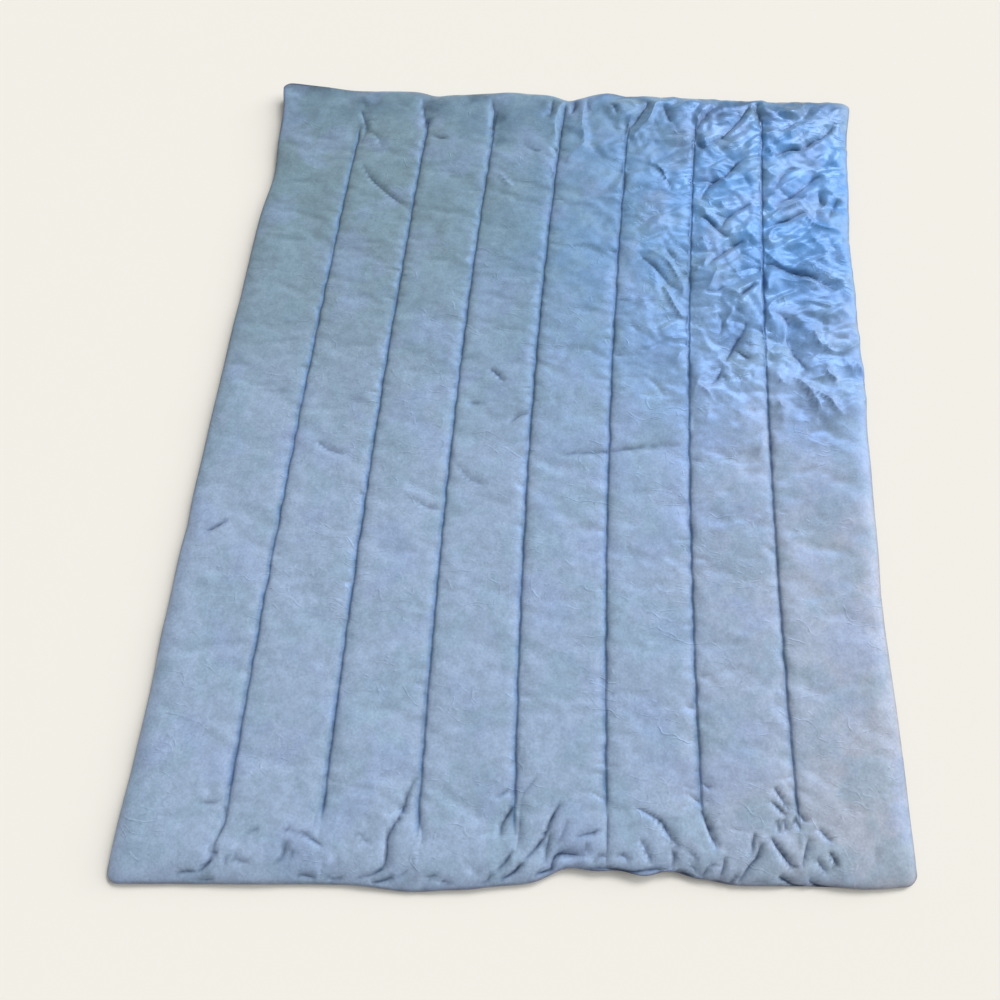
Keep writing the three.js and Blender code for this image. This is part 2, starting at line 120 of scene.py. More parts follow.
# The folds, each a ridge (height over 0) or a trough (under 0): its height and the widths of its upper left
# and its lower right side in millimetres, then points on it as the camera sees them, x and y in turn, in a
# picture 1000 wide and 1000 high
FOLDS = [
    # Where the head end is drawn in by the seams
    (-4, 6, 8, 360, 144, 365, 135, 367, 128, 364, 119, 361, 110),
    (-3, 7, 7, 367, 130, 376, 135, 381, 142, 383, 150),
    (-6, 9, 26, 427, 130, 425, 119, 424, 110, 423, 98),
    (-4, 8, 8, 431, 134, 438, 138, 447, 139),
    (-5, 9, 20, 491, 150, 493, 138, 493, 122, 494, 110, 491, 97),
    (-6, 6, 5, 554, 99, 552, 108, 549, 118),
    (5, 8, 8, 567, 98, 562, 105, 557, 113, 555, 123, 555, 136),
    (-8, 6, 10, 575, 99, 575, 105, 572, 114),
    (6, 20, 8, 584, 97, 583, 110, 582, 122, 584, 134, 584, 145, 577, 151, 571, 157, 567, 163),
    (-4, 5, 6, 587, 98, 588, 106, 587, 113),
    (-4, 7, 7, 611, 103, 615, 109, 617, 116),
    (-7, 14, 8, 629, 129, 635, 121, 642, 111, 649, 100),
    (6, 10, 9, 663, 98, 655, 104, 652, 113, 648, 121, 640, 129, 632, 137),
    (-7, 6, 12, 664, 104, 667, 113, 671, 122),
    (-7, 8, 14, 695, 131, 700, 122, 706, 114, 713, 106),
    (-8, 28, 12, 708, 143, 721, 137, 731, 128, 741, 117, 750, 104),
    (-8, 7, 22, 761, 126, 760, 116, 757, 108, 759, 101),
    # Upper left and middle
    (-5, 6, 7, 363, 163, 369, 175, 373, 180, 384, 190, 397, 200, 407, 208),
    (4, 5, 5, 499, 172, 504, 179, 511, 187),
    (-3, 5, 5, 527, 147, 534, 150, 540, 152),
    (-4, 6, 6, 318, 440, 326, 448, 344, 454),
    (-5, 5, 5, 490, 368, 497, 374, 505, 383),
    (-4, 6, 6, 511, 423, 518, 416, 529, 413),
    (-3, 7, 7, 469, 403, 481, 403),
    (-3, 9, 9, 456, 462, 470, 478, 485, 485),
    (-3, 9, 9, 411, 498, 427, 506, 441, 510),
    (-3, 6, 6, 359, 491, 367, 497),
    (-4, 6, 6, 556, 456, 580, 453, 605, 452, 640, 448, 684, 445),
    (-6, 5, 5, 206, 531, 214, 528, 227, 520),
    # The sixth channel
    (-4, 7, 9, 646, 163, 660, 170, 668, 182, 672, 192),
    (-4, 8, 8, 638, 251, 647, 261, 655, 268, 663, 276, 671, 284, 679, 291),
    (4, 7, 7, 648, 249, 660, 256, 669, 264, 677, 274, 683, 286),
    (-3, 5, 5, 665, 247, 671, 255, 677, 263),
    (6, 6, 5, 661, 283, 668, 293, 673, 303, 678, 311, 683, 318),
    (4, 5, 5, 684, 285, 681, 296),
    # The seventh channel
    (-4, 8, 8, 694, 140, 702, 148, 708, 143),
    (-9, 26, 12, 700, 200, 708, 188, 715, 180, 724, 176, 731, 169, 738, 162, 749, 156),
    (3, 6, 5, 721, 200, 723, 208),
    (-3, 8, 8, 716, 213, 722, 216, 729, 216),
    (-6, 14, 8, 722, 229, 725, 220, 732, 214, 741, 209, 752, 203),
    (3, 6, 6, 703, 212, 712, 219, 720, 226),
    (-6, 6, 10, 700, 215, 708, 219, 715, 226, 721, 232, 729, 238),
    (-4, 5, 6, 704, 238, 708, 242, 712, 247),
    (-7, 12, 7, 707, 268, 712, 261, 720, 254, 729, 248, 737, 243, 745, 240),
    (4, 7, 5, 707, 257, 705, 262, 702, 268),
    (5, 10, 7, 717, 262, 716, 271, 712, 281, 706, 291),
    (3, 5, 5, 699, 266, 695, 272),
    (-5, 6, 7, 706, 292, 715, 291, 724, 286),
    (-7, 4, 5, 735, 301, 741, 295, 748, 290, 754, 285),
    (5, 8, 7, 736, 303, 732, 311, 727, 320, 724, 326),
    (-3, 8, 8, 717, 312, 722, 322, 720, 334),
    (-9, 30, 12, 747, 322, 744, 331, 737, 341, 731, 352, 726, 362),
    (-4, 5, 6, 735, 348, 742, 355, 749, 359),
    (-5, 5, 6, 722, 366, 720, 374, 716, 380, 710, 385),
    (-4, 5, 5, 725, 374, 726, 381),
    # The eighth channel
    (5, 5, 5, 767, 146, 770, 151, 773, 155),
    (-4, 9, 9, 778, 131, 788, 127, 797, 120),
    (4, 12, 8, 775, 143, 784, 138, 792, 133, 800, 127, 808, 121),
    (-9, 16, 8, 773, 155, 782, 151, 792, 148, 802, 148, 812, 142, 822, 137, 831, 129, 836, 123),
    (3, 6, 6, 765, 172, 772, 167, 780, 165),
    (-5, 6, 8, 770, 190, 777, 183, 782, 175, 790, 169, 800, 167),
    (4, 8, 6, 765, 201, 773, 195, 781, 189, 790, 182, 800, 177),
    (-8, 14, 8, 774, 206, 784, 199, 795, 193, 805, 185, 813, 178, 820, 175),
    (7, 6, 6, 769, 220, 775, 214, 782, 209, 790, 206, 798, 202, 805, 197, 808, 190),
    (-7, 6, 10, 767, 229, 777, 222, 788, 219, 798, 214, 807, 211),
    (-5, 5, 7, 819, 190, 821, 199, 825, 207),
    (5, 10, 5, 831, 196, 827, 202, 823, 209),
    (-6, 6, 12, 838, 199, 833, 210, 828, 220),
    (5, 5, 6, 782, 227, 775, 228, 770, 233, 768, 242),
    (5, 6, 6, 803, 213, 811, 220, 820, 228, 831, 231),
    (6, 8, 6, 829, 247, 825, 256, 816, 262),
    (4, 6, 6, 762, 245, 769, 255, 779, 263, 792, 267, 808, 269),
    (-10, 12, 34, 762, 262, 776, 266, 792, 270, 810, 275, 828, 283, 838, 290),
    (4, 5, 5, 762, 274, 766, 282, 769, 291),
    (6, 6, 7, 764, 313, 770, 305, 776, 300, 784, 296, 798, 290),
    (4, 6, 6, 804, 299, 815, 301, 825, 304, 838, 308),
    (-9, 24, 40, 774, 311, 784, 316, 790, 325, 789, 338, 794, 348, 800, 358, 809, 371),
    (4, 5, 5, 785, 323, 786, 334, 787, 345),
    (5, 6, 6, 815, 329, 818, 340, 822, 350, 810, 359),
    (5, 6, 6, 823, 343, 828, 348, 834, 352),
    (5, 7, 6, 829, 363, 827, 372, 834, 378, 839, 386),
    (4, 6, 6, 778, 370, 779, 377, 783, 385),
    (5, 5, 6, 795, 375, 803, 383, 810, 392, 817, 402, 817, 417),
    (5, 5, 6, 811, 385, 820, 393, 829, 400, 837, 409, 842, 417),
    (3, 8, 8, 779, 400, 784, 409, 786, 422),
    # The foot end, from the left edge to the third seam
    (-3, 6, 6, 202, 803, 209, 803, 216, 803),
    (-4, 6, 6, 221, 804, 225, 811, 224, 823, 218, 835, 214, 845, 212, 858),
    (-4, 5, 5, 207, 852, 212, 853, 219, 853),
    (-9, 6, 7, 213, 858, 207, 863, 202, 868, 198, 872),
    (-5, 6, 6, 198, 872, 190, 872, 180, 873, 171, 877),
    (-5, 5, 5, 192, 880, 199, 881, 205, 881, 213, 880),
    (-3, 7, 7, 226, 854, 225, 867),
    (-4, 6, 6, 236, 849, 236, 858, 242, 862, 249, 862),
    (-3, 6, 6, 244, 837, 252, 831, 259, 828),
    (-4, 5, 5, 285, 832, 291, 828),
    (-6, 5, 6, 288, 839, 284, 850, 281, 858, 276, 866),
    (-4, 5, 5, 293, 849, 290, 861),
    (-4, 5, 5, 294, 837, 303, 832, 310, 838, 316, 842, 323, 847),
    (-5, 5, 5, 296, 875, 305, 877, 315, 879),
    (-5, 5, 5, 324, 876, 333, 881, 341, 879),
    (-3, 6, 6, 359, 831, 363, 838, 369, 845),
    (-8, 5, 7, 417, 777, 412, 785, 406, 800, 401, 815, 393, 827, 387, 840, 387, 850, 384, 866, 376, 873,
     365, 877, 349, 881),
    (-8, 5, 6, 369, 884, 378, 883, 386, 881, 392, 876),
    (-3, 7, 7, 397, 878, 403, 874, 409, 870),
    (-3, 6, 6, 418, 817, 422, 833, 421, 846),
    (-4, 5, 5, 427, 878, 431, 877, 435, 875),
    (-4, 5, 5, 439, 881, 445, 883, 451, 885),
    # The foot end around the fourth and fifth seams
    (-5, 5, 5, 479, 885, 486, 883, 490, 877, 491, 872),
    (-4, 5, 5, 496, 798, 503, 794, 509, 790),
    (-7, 6, 8, 514, 806, 508, 815, 502, 826, 502, 838),
    (-3, 8, 8, 517, 802, 520, 815, 519, 835, 517, 850),
    (-6, 5, 6, 513, 850, 506, 861, 500, 868, 495, 874),
    (-9, 6, 7, 499, 881, 508, 877, 515, 872, 519, 867, 524, 863),
    (-3, 8, 9, 538, 776, 530, 786, 523, 796, 519, 815),
    (-9, 5, 7, 561, 802, 555, 812, 550, 822, 546, 833, 541, 842, 532, 853, 523, 861),
    (-3, 7, 7, 568, 818, 563, 833, 556, 847),
    (-6, 5, 6, 552, 830, 549, 840, 547, 850, 546, 860, 549, 868),
    (-10, 6, 7, 553, 873, 552, 865, 556, 857, 562, 855, 573, 855, 587, 855),
    (4, 5, 6, 569, 867, 580, 862, 591, 858),
    (-7, 6, 5, 535, 875, 544, 873, 553, 871),
    (-5, 5, 5, 575, 838, 585, 835, 594, 833, 599, 828),
    (-4, 5, 5, 587, 842, 586, 850, 591, 854),
    (-3, 6, 6, 608, 808, 607, 830, 607, 862),
    (-4, 5, 5, 592, 866, 597, 858, 604, 856, 608, 859),
    (-4, 5, 5, 617, 855, 624, 856, 629, 862),
    (-7, 5, 5, 584, 870, 600, 869, 618, 871, 632, 873, 650, 871, 665, 869, 674, 868),
    (4, 4, 5, 594, 873, 605, 874, 616, 875),
    # The foot end around the sixth seam
    (-6, 5, 6, 635, 807, 650, 815, 661, 822, 668, 833, 675, 842, 681, 848),
    (-5, 5, 7, 640, 838, 645, 848, 650, 858, 653, 863),
    (-5, 5, 5, 672, 848, 675, 858, 673, 867),
    (-3, 6, 6, 687, 850, 694, 856, 699, 863),
    (-5, 5, 5, 691, 865, 698, 872, 703, 879),
    (4, 4, 5, 659, 871, 670, 872, 681, 876),
    (-5, 4, 5, 659, 873, 672, 875, 681, 878),
    (-7, 5, 5, 671, 869, 683, 874, 698, 879),
    (4, 4, 5, 669, 872, 690, 879, 701, 882),
    (-4, 5, 5, 701, 782, 706, 786, 711, 791),
    (-8, 5, 7, 701, 810, 706, 821, 710, 832, 715, 843, 717, 851),
    (-4, 5, 5, 708, 867, 715, 865, 721, 868),
    (-5, 5, 5, 709, 868, 706, 873, 703, 879),
    (-5, 5, 5, 711, 881, 722, 883, 736, 887),
    (-5, 5, 5, 725, 857, 724, 868, 721, 878),
    (-5, 5, 5, 732, 886, 736, 879, 741, 876),
    # The foot end to the right of it
    (-5, 5, 6, 755, 832, 753, 843, 752, 858),
    (-9, 5, 7, 762, 842, 760, 850, 758, 858, 752, 865, 748, 871, 744, 878, 740, 885),
    (-5, 5, 5, 769, 800, 777, 807, 783, 813, 788, 817),
    (-6, 5, 6, 773, 786, 779, 795, 784, 802, 790, 812),
    (-5, 5, 5, 777, 819, 778, 826, 780, 834),
    (-5, 5, 5, 784, 817, 786, 826, 790, 833),
    (-5, 5, 5, 794, 814, 797, 822, 801, 829),
    (-6, 8, 9, 796, 809, 803, 818, 807, 823),
    (-8, 5, 7, 770, 836, 775, 844, 781, 852, 787, 860, 792, 866, 799, 868),
    (-7, 6, 8, 810, 837, 807, 848, 805, 857, 802, 867),
    (-5, 5, 6, 819, 828, 825, 835, 832, 843),
    (-5, 5, 6, 816, 857, 822, 866, 829, 874),
    (-6, 5, 6, 829, 851, 835, 860, 839, 869),
    (-3, 5, 5, 749, 884, 760, 883, 771, 884),
    (-10, 6, 6, 779, 877, 790, 883, 798, 887, 809, 888),
    (-8, 5, 5, 810, 880, 816, 885, 825, 888, 840, 889),
]

# The picture's width and height, and the height over the floor at which the folds in it are taken to lie
PICTURE = 1000
FOLDED_Z = 25 * MM

# Patches of painted shade, darker cloth where wedges beside folds and hollows among the crumples lie in shade: x and
# y in the picture, the patch's reach in millimetres, and how dark it is
SHADE_PATCHES = [
    (372, 101, 40, 0.5),
    (365, 125, 16, 0.5),
    (438, 105, 32, 0.75),
    (430, 122, 16, 0.7),
    (478, 98, 26, 0.7),
    (501, 118, 20, 0.5),
    (500, 138, 16, 0.4),
    (548, 106, 22, 0.5),
    (575, 105, 18, 0.9),
    (567, 130, 20, 0.5),
    (567, 150, 16, 0.4),
    (614, 107, 22, 0.5),
    (644, 103, 26, 0.6),
    (632, 120, 18, 0.5),
    (669, 108, 18, 0.5),
    (704, 116, 22, 0.8),
    (723, 110, 34, 0.95),
    (742, 106, 40, 1.0),
    (660, 150, 44, 0.3),
    (662, 205, 54, 0.25),
    (700, 141, 22, 0.5),
    (712, 180, 26, 0.5),
    (732, 164, 24, 0.5),
    (768, 112, 40, 0.9),
    (770, 134, 24, 0.7),
    (800, 108, 50, 0.8),
    (828, 112, 40, 0.6),
    (767, 160, 16, 0.4),
    (768, 182, 16, 0.4),
    (660, 345, 60, 0.3),
    (690, 152, 40, 0.35),
    (800, 155, 60, 0.4),
    (740, 262, 60, 0.4),
    (735, 335, 50, 0.6),
    (775, 266, 22, 0.4),
    (800, 280, 46, 0.45),
    (824, 290, 36, 0.55),
    (808, 318, 44, 0.6),
    (832, 322, 36, 0.5),
    (820, 372, 30, 0.4),
    (664, 425, 60, 0.2),
    (725, 430, 60, 0.2),
    (808, 425, 80, 0.45),
    (745, 540, 110, 0.15),
    (830, 500, 80, 0.25),
]

# Where the rim stands off the floor
RIM_WAVE = 2.5 * MM
RIM_LIFTS = table("x y reach lift", [
    [-757, 900, 230, 14],
    [-757, 930, 140, 10],
    [-757, 480, 240, 10],
    [-757, 80, 230, 8],
    [-757, -320, 230, 6],
    [250, -990, 130, 12],
])

# Slow waves in the loft, where the fill has settled unevenly
FILL_WAVES = table("across along height", [
    [410, 760, 1.1],
    [255, 530, 0.9],
    [690, 300, 0.8],
])
FILL_PHASES = (0.6, 2.1, 4.4)

# Chance creases, strewn by area: how many, where (x and y from, to), their turn from the x axis and its
# spread in degrees, and the range of their lengths, widths and heights in millimetres
STREWN = [
    # All over: short light wrinkles
    (430, (-740, 760), (-960, 960), -28, 40, (14, 46), (4.5, 7), (-1.8, 0.9)),
    # Upper right: broad crumples, most of them rising to the right
    (60, (300, 765), (-60, 960), 42, 22, (50, 120), (8, 17), (-5, 5)),
    (40, (240, 765), (60, 900), -52, 18, (40, 90), (7, 13), (-4, 5)),
    # Foot: gathers that run in from the hem
    (80, (-700, 770), (-1020, -880), 80, 26, (24, 70), (6, 9), (-3.5, 2)),
]

# Layers of the facets of crumpled cloth: their turn from the x axis in degrees, and their length, width and
# height in millimetres
CRUMPLES = [
    (41, 190, 80, 9),
    (28, 105, 46, 5),
    (-50, 150, 66, 6),
    (-66, 70, 32, 2.5),
]

# Insets from the rim at which the mesh's lines lie. Two more loops curl the panel's edge under to the
# turned seam: how far in from the rim each lies, and its drop below it. The back panel bulges out past
# that seam to its own inset
RIM_INSETS = np.array([0, 1.5, 3.6, 6.5, 10.5, 15.5, 22, 29, 36.5, 44.5]) * MM
END_INSETS = np.array([0, 1.5, 3.6, 6.5, 10.5, 15.5, 21, 27, 33, 39, 45, 51, 57]) * MM
CURL_INSETS = np.array([0.5, 1.6]) * MM
CURL_DROPS = np.array([1.1, 2.4]) * MM
BACK_INSET, BACK_DROP = 0.7 * MM, 3.2 * MM
LEAST_THICKNESS = 2.5 * MM
BESIDE_SEAM = np.array([2, 5, 9.5, 16, 25]) * MM

# Columns of faces in each channel, and rows of vertices: finer where the cloth is more crumpled. The rows'
# spread gives the share of the length that a share of the rows has covered. Every third line carries on
# into the back panel
CHANNEL_FACES = (27, 24, 24, 24, 27, 30, 33, 36)
ROWS = 361
ROW_SPREAD = ((0, 0.11, 0.44, 1), (0, 0.076, 0.505, 1))
UNDER_STEP = 3

DRAPE_RIM = np.array([0, 8, 19]) * MM
DRAPE_ENDS = np.array([0, 8, 18, 28]) * MM
DRAPE_SEAM = np.array([8, 18, 30]) * MM
DRAPE_CHANNEL_FACES = (16, 15, 15, 15, 15, 15, 15, 16)
DRAPE_ROWS = 225
EVEN_SPREAD = ((0, 1), (0, 1))


def linear(code):
    """Linear colour from an sRGB hex value: v / 12.92 near black, else ((v + 0.055) / 1.055)^2.4."""
    values = [int(code[i:i + 2], 16) / 255 for i in (0, 2, 4)]
    return tuple(v / 12.92 if v <= 0.04045 else ((v + 0.055) / 1.055) ** 2.4 for v in values) + (1.0,)


def size(name, description, metres):
    """A length that a user may change."""
    return bpy.props.FloatProperty(
        name=name, description=description, default=metres, min=0, precision=4, unit="LENGTH", subtype="DISTANCE",
    )


def colour(name, description, code):
    """A colour that a user may change."""
    return bpy.props.FloatVectorProperty(
        name=name, description=description, default=linear(code), size=4, min=0, max=1, subtype="COLOR",
    )


class ComforterSizes(bpy.types.PropertyGroup):
    """Sizes that a maker would choose."""

    crown: size("Crown", "Height of a channel's top over the floor", 0.027)
    sewn_top: size("Sewn Top", "Height of the top panel where it is stitched down", 0.0200)
    sewn_lift: size("Sewn Lift", "Height of the back panel where it is stitched up", 0.0045)
    valley_reach: size("Valley Reach", "How far from a seam the fill reaches its full height", 0.030)
    rim_height: size("Rim Height", "Height of the outermost cloth of the rim", 0.007)
    rim_reach: size("Rim Reach", "How far in from the rim the fill reaches its full height", 0.052)
    rim_tuck: size("Rim Tuck", "How far in from the rim the back panel meets the floor", 0.026)
    corner_radius: size("Corner Radius", "Radius of the turned corners", 0.024)
    stitch_fade: size("Stitch Fade", "How far past its last stitch a seam's valley runs out", 0.046)
    pucker: size("Pucker", "Height of the ripples that the thread draws up beside a seam", 0.0015)
    crumple: bpy.props.FloatProperty(
        name="Crumple", description="How high the crumples in the upper right of the cloth stand", default=1,
        min=0, subtype="FACTOR",
    )
    fold: bpy.props.FloatProperty(
        name="Fold", description="How high and deep the single folds are", default=1.2, min=0, subtype="FACTOR",
    )
    stitch: size("Stitch", "Distance from one stitch to the next", 0.0042)
    thread: size("Thread", "Width of a laid stitch", 0.0011)


class ComforterColours(bpy.types.PropertyGroup):
    """Colours of the cloth, its thread and the floor."""

    # Sky, slate, lavender and ash are partly faded dye and partly painted light and shade: slate darker at the upper
    # left, sky bluer where painted cool light falls at the upper right, lavender and ash paler over the lower half
    sky: colour("Sky", "Cloth that has kept its colour best, towards the head on the right", "629BDA")
    slate: colour("Slate", "Greyer cloth, towards the head on the left", "7C949F")
    lavender: colour("Lavender", "Paler cloth over the lower half", "9EB2CC")
    ash: colour("Ash", "Washed-out cloth near the foot on the right", "B2B8C4")
    # Painted shade: the tint of the cloth down in a seam's valley
    seam_shade: colour("Crushed", "What is left of the cloth's colour where it is crushed down into a seam", "9BABBA")
    # Painted shade: the tint of the cloth down in a crease
    crease_shade: colour("Creased", "What is left of the cloth's colour where it is folded down into a crease", "7F8591")
    # Painted shade: the tint of the patches that stand for shaded wedges and hollows
    shaded: colour("Dulled", "What is left of the cloth's colour where wear has dulled it", "ABB4BB")
    # Painted shade with a brownish painted reflection: the tint of the cloth at the turned seam
    rim: colour("Rim", "What is left of the cloth's colour at the turned seam, soiled by wear", "B4A6A6")
    thread: colour("Thread", "Sewing thread", "3E5A7C")
    floor: colour("Floor", "Plain pale floor", "F4F1E9")


def sizes():
    return bpy.context.scene.comforter_sizes


def colours():
    return bpy.context.scene.comforter_colours


# The outline in plan


def smooth(t):
    """3 t^2 - 2 t^3, with t held between 0 and 1."""
    t = np.clip(t, 0, 1)
    return t * t * (3 - 2 * t)


def rise(t, power, fullness):
    """(1 - (1 - t)^power)^fullness: steep at 0 and level at 1, as fill stands up beside a sewn line."""
    return (1 - (1 - np.clip(t, 0, 1)) ** power) ** fullness


def noise(x, y, seed):
    """Gradient noise with a cell of 1, about -1 to 1: slopes at lattice points, blended by a quintic."""
    angles = np.random.default_rng(seed).random((64, 64)) * 2 * math.pi
    i, j = np.floor(x).astype(int), np.floor(y).astype(int)
    u, v = x - i, y - j
    total = 0
    for a in (0, 1):
        for b in (0, 1):
            angle = angles[(i + a) % 64, (j + b) % 64]
            p, q = 1 - abs(u - a), 1 - abs(v - b)
            fade = p ** 3 * (p * (6 * p - 15) + 10) * q ** 3 * (q * (6 * q - 15) + 10)
            total = total + fade * (np.cos(angle) * (u - a) + np.sin(angle) * (v - b))
    return total * 1.5


def bumps(rows, along):
    """Sum of bells, each out * exp(-((along - at) / reach)^2)."""
    away = (np.asarray(along)[..., None] - rows["at"]) / rows["reach"]
    return (rows["out"] * np.exp(-away ** 2)).sum(-1)


def course_x(index, y):
    """x of a course at y: a parabola through its three strays, plus the side bumps on the two edges, and
    on the seams between them the small wander of a hand-guided machine."""
    t = y / STRAY_AT
    head, middle, foot = (COURSES[name][index] for name in ("head", "middle", "foot"))
    x = COURSES["x"][index] + middle + (head - foot) / 2 * t + ((head + foot) / 2 - middle) * t * t
    x = np.where(np.equal(index, 0), x - bumps(LEFT_BUMPS, y), x)
    x = np.where(np.equal(index, RIGHT), x + bumps(RIGHT_BUMPS, y), x)
    inner = np.greater(index, 0) & np.less(index, RIGHT)
    return x + inner * WANDER * noise(y / 0.034, index * 7.3, 5)


def column_x(column, y):
    """x between two neighbouring courses, straight in the fraction of the column."""
    index = np.clip(np.floor(column), 0, SEAMS).astype(int)
    share = column - index
    return course_x(index, y) * (1 - share) + course_x(index + 1, y) * share


def corner_inset(x, y):
    """How far a round corner draws an end edge in: r - sqrt(r^2 - (r - d)^2), d from the nearer side."""
    radius = sizes().corner_radius
    nearest = np.maximum(np.minimum(x - course_x(0, y), course_x(RIGHT, y) - x), 0)
    inside = np.maximum(radius - nearest, 0)
    return radius - np.sqrt(radius ** 2 - inside ** 2)


def head_edge(x):
    """y of the head edge: an askew line with its bumps, drawn in at the corners."""
    y = HEAD_Y + HEAD_SKEW * x + bumps(HEAD_BUMPS, x)
    return y - corner_inset(x, y)


def foot_edge(x):
    """y of the foot edge, made as the head edge is."""
    y = FOOT_Y + FOOT_SKEW * x - bumps(FOOT_BUMPS, x)
    return y + corner_inset(x, y)


def column_stops(rim_insets, beside_seam, faces):
    """Columns from rim to rim: insets from each rim, offsets on both sides of each seam, and even gaps between,
    so many columns of faces in each channel."""
    from_seam = np.concatenate([[0], beside_seam])
    parts = []
    for channel, count in enumerate(faces):
        width = COURSES["x"][channel + 1] - COURSES["x"][channel]
        from_left = rim_insets if channel == 0 else from_seam
        from_right = rim_insets if channel == SEAMS else from_seam
        gaps = count + 2 - len(from_left) - len(from_right)
        between = np.linspace(from_left[-1], width - from_right[-1], gaps + 1)[1:-1]
        stops = np.concatenate([from_left, between, width - from_right[:0:-1]])
        parts.append(channel + stops / width)
    return np.concatenate(parts + [[RIGHT]])


def row_stops(insets, count, spread):
    """Inset from the nearer end and share of the way to the head, for each row from foot to head."""
    between = np.interp(np.linspace(0, 1, count - 2 * len(insets) + 2)[1:-1], *spread)
    inset = np.concatenate([insets, np.full(len(between), insets[-1]), insets[::-1]])
    share = np.concatenate([np.zeros(len(insets)), between, np.ones(len(insets))])
    return inset, share


def row_lengths(rows):
    """Distance of each row from the foot edge on cloth of the nominal length."""
    inset, share = rows
    return inset + (HEAD_Y - FOOT_Y - 2 * inset) * share


def plan(columns, rows):
    """x and y of a grid: rows lie between the two end edges, columns between the lengthwise courses."""
    inset, share = (part[:, None] for part in rows)
    column = np.broadcast_to(columns, (len(inset), len(columns)))
    y = np.broadcast_to(FOOT_Y + (HEAD_Y - FOOT_Y) * share, column.shape)
    x = column_x(column, y)
    for _ in range(3):
        y = (foot_edge(x) + inset) * (1 - share) + (head_edge(x) - inset) * share
        x = column_x(column, y)
    return x, y, column


# Heights


def to_edges(x, y):
    """Distances from the left, right, foot and head edges."""
    return x - course_x(0, y), course_x(RIGHT, y) - x, y - foot_edge(x), head_edge(x) - y


def nearest_seam(x, y, column):
    """Signed distance from the nearest seam, and how much of it is sewn there, from 0 to 1."""
    index = np.clip(np.round(column), 1, SEAMS).astype(int)
    past_head = y - (head_edge(x) - COURSES["gap_head"][index])
    past_foot = foot_edge(x) + COURSES["gap_foot"][index] - y
    past = np.maximum(np.maximum(past_head, past_foot), 0)
    return x - course_x(index, y), 1 - smooth(past / sizes().stitch_fade)


def rim_loft(x, y):
    """Share of full loft that the rim leaves: the product of the four edges' rises."""
    loft = 1
    for distance in to_edges(x, y):
        loft = loft * rise(distance / sizes().rim_reach, 2, 0.58)
    return loft


def from_picture(points):
    """Places on the cloth of points in the picture: the ray from the camera through each point, followed down
    to the height at which the cloth is taken to lie."""
    rays = np.column_stack([
        points[:, 0] - PICTURE / 2, PICTURE / 2 - points[:, 1], np.full(len(points), -PICTURE * FOCAL_LENGTH / 36),
    ]) @ np.array(camera_turn())[:3, :3].T
    reach = (CAMERA_AT[2] - FOLDED_Z) / -rays[:, 2:]
    return CAMERA_AT[:2] + rays[:, :2] * reach


def drawn_folds():
    """The folds of the table: each one's height and the widths of its sides, and a smooth curve of points."""
    folds = []
    for height, left, right, *points in FOLDS:
        knots = from_picture(np.reshape(points, (-1, 2)))
        last = len(knots) - 1
        line = resample(np.arange(last + 1), np.linspace(0, last, 4 * last + 1)) @ knots
        folds.append((sizes().fold * height * MM, left * MM, right * MM, line))
    return folds


def bowed_folds(middle, turn, run, bow, width, height):
    """Folds as shallow arcs: middle + run * (s along + bow (1 - 4 s^2) across), with s from -1/2 to 1/2."""
    s = np.linspace(-0.5, 0.5, 5)[:, None]
    along = np.stack([np.cos(turn), np.sin(turn)], -1)[:, None]
    across = np.stack([-np.sin(turn), np.cos(turn)], -1)[:, None]
    lines = middle[:, None] + run[:, None, None] * (s * along + bow[:, None, None] * (1 - 4 * s * s) * across)
    return list(zip(height, width, width, lines))


def strewn_folds(seed):
    """Chance creases: for each area, even draws of place, length, width and height, and normal ones of turn
    and bow."""
    draw = np.random.default_rng(seed)
    folds = []
    for count, x_range, y_range, turn, spread, lengths, widths, heights in STREWN:
        x, y, run, width, height = (
            draw.uniform(*span, count) * MM for span in (x_range, y_range, lengths, widths, heights)
        )
        turns = np.radians(draw.normal(turn, spread, count))
        folds += bowed_folds(np.stack([x, y], -1), turns, run, draw.normal(0, 0.1, count), width, height)
    return folds


def pucker_folds(seed):
    """Single puckers that run out from the seams, most of them on the right-hand seams and lower down."""
    draw = np.random.default_rng(seed)
    count = 330
    seam = draw.integers(1, SEAMS + 1, count)
    y = draw.uniform(-860, 860, count) * MM
    kept = draw.random(count) < np.where(seam > 3, 0.95, 0.45) * np.where(y < 0.1, 1, 0.6)
    seam, y = seam[kept], y[kept]
    count = len(seam)
    run = draw.uniform(14, 40, count) * MM
    turn = np.radians(draw.normal(0, 24, count) + 180 * draw.integers(0, 2, count))
    middle = np.stack([course_x(seam, y), y], -1) + run[:, None] * 0.5 * np.stack([np.cos(turn), np.sin(turn)], -1)
    width, height = draw.uniform(4, 6.5, count) * MM, draw.uniform(-3.6, -1, count) * MM
    return bowed_folds(middle, turn, run, draw.normal(0, 0.1, count), width, height)


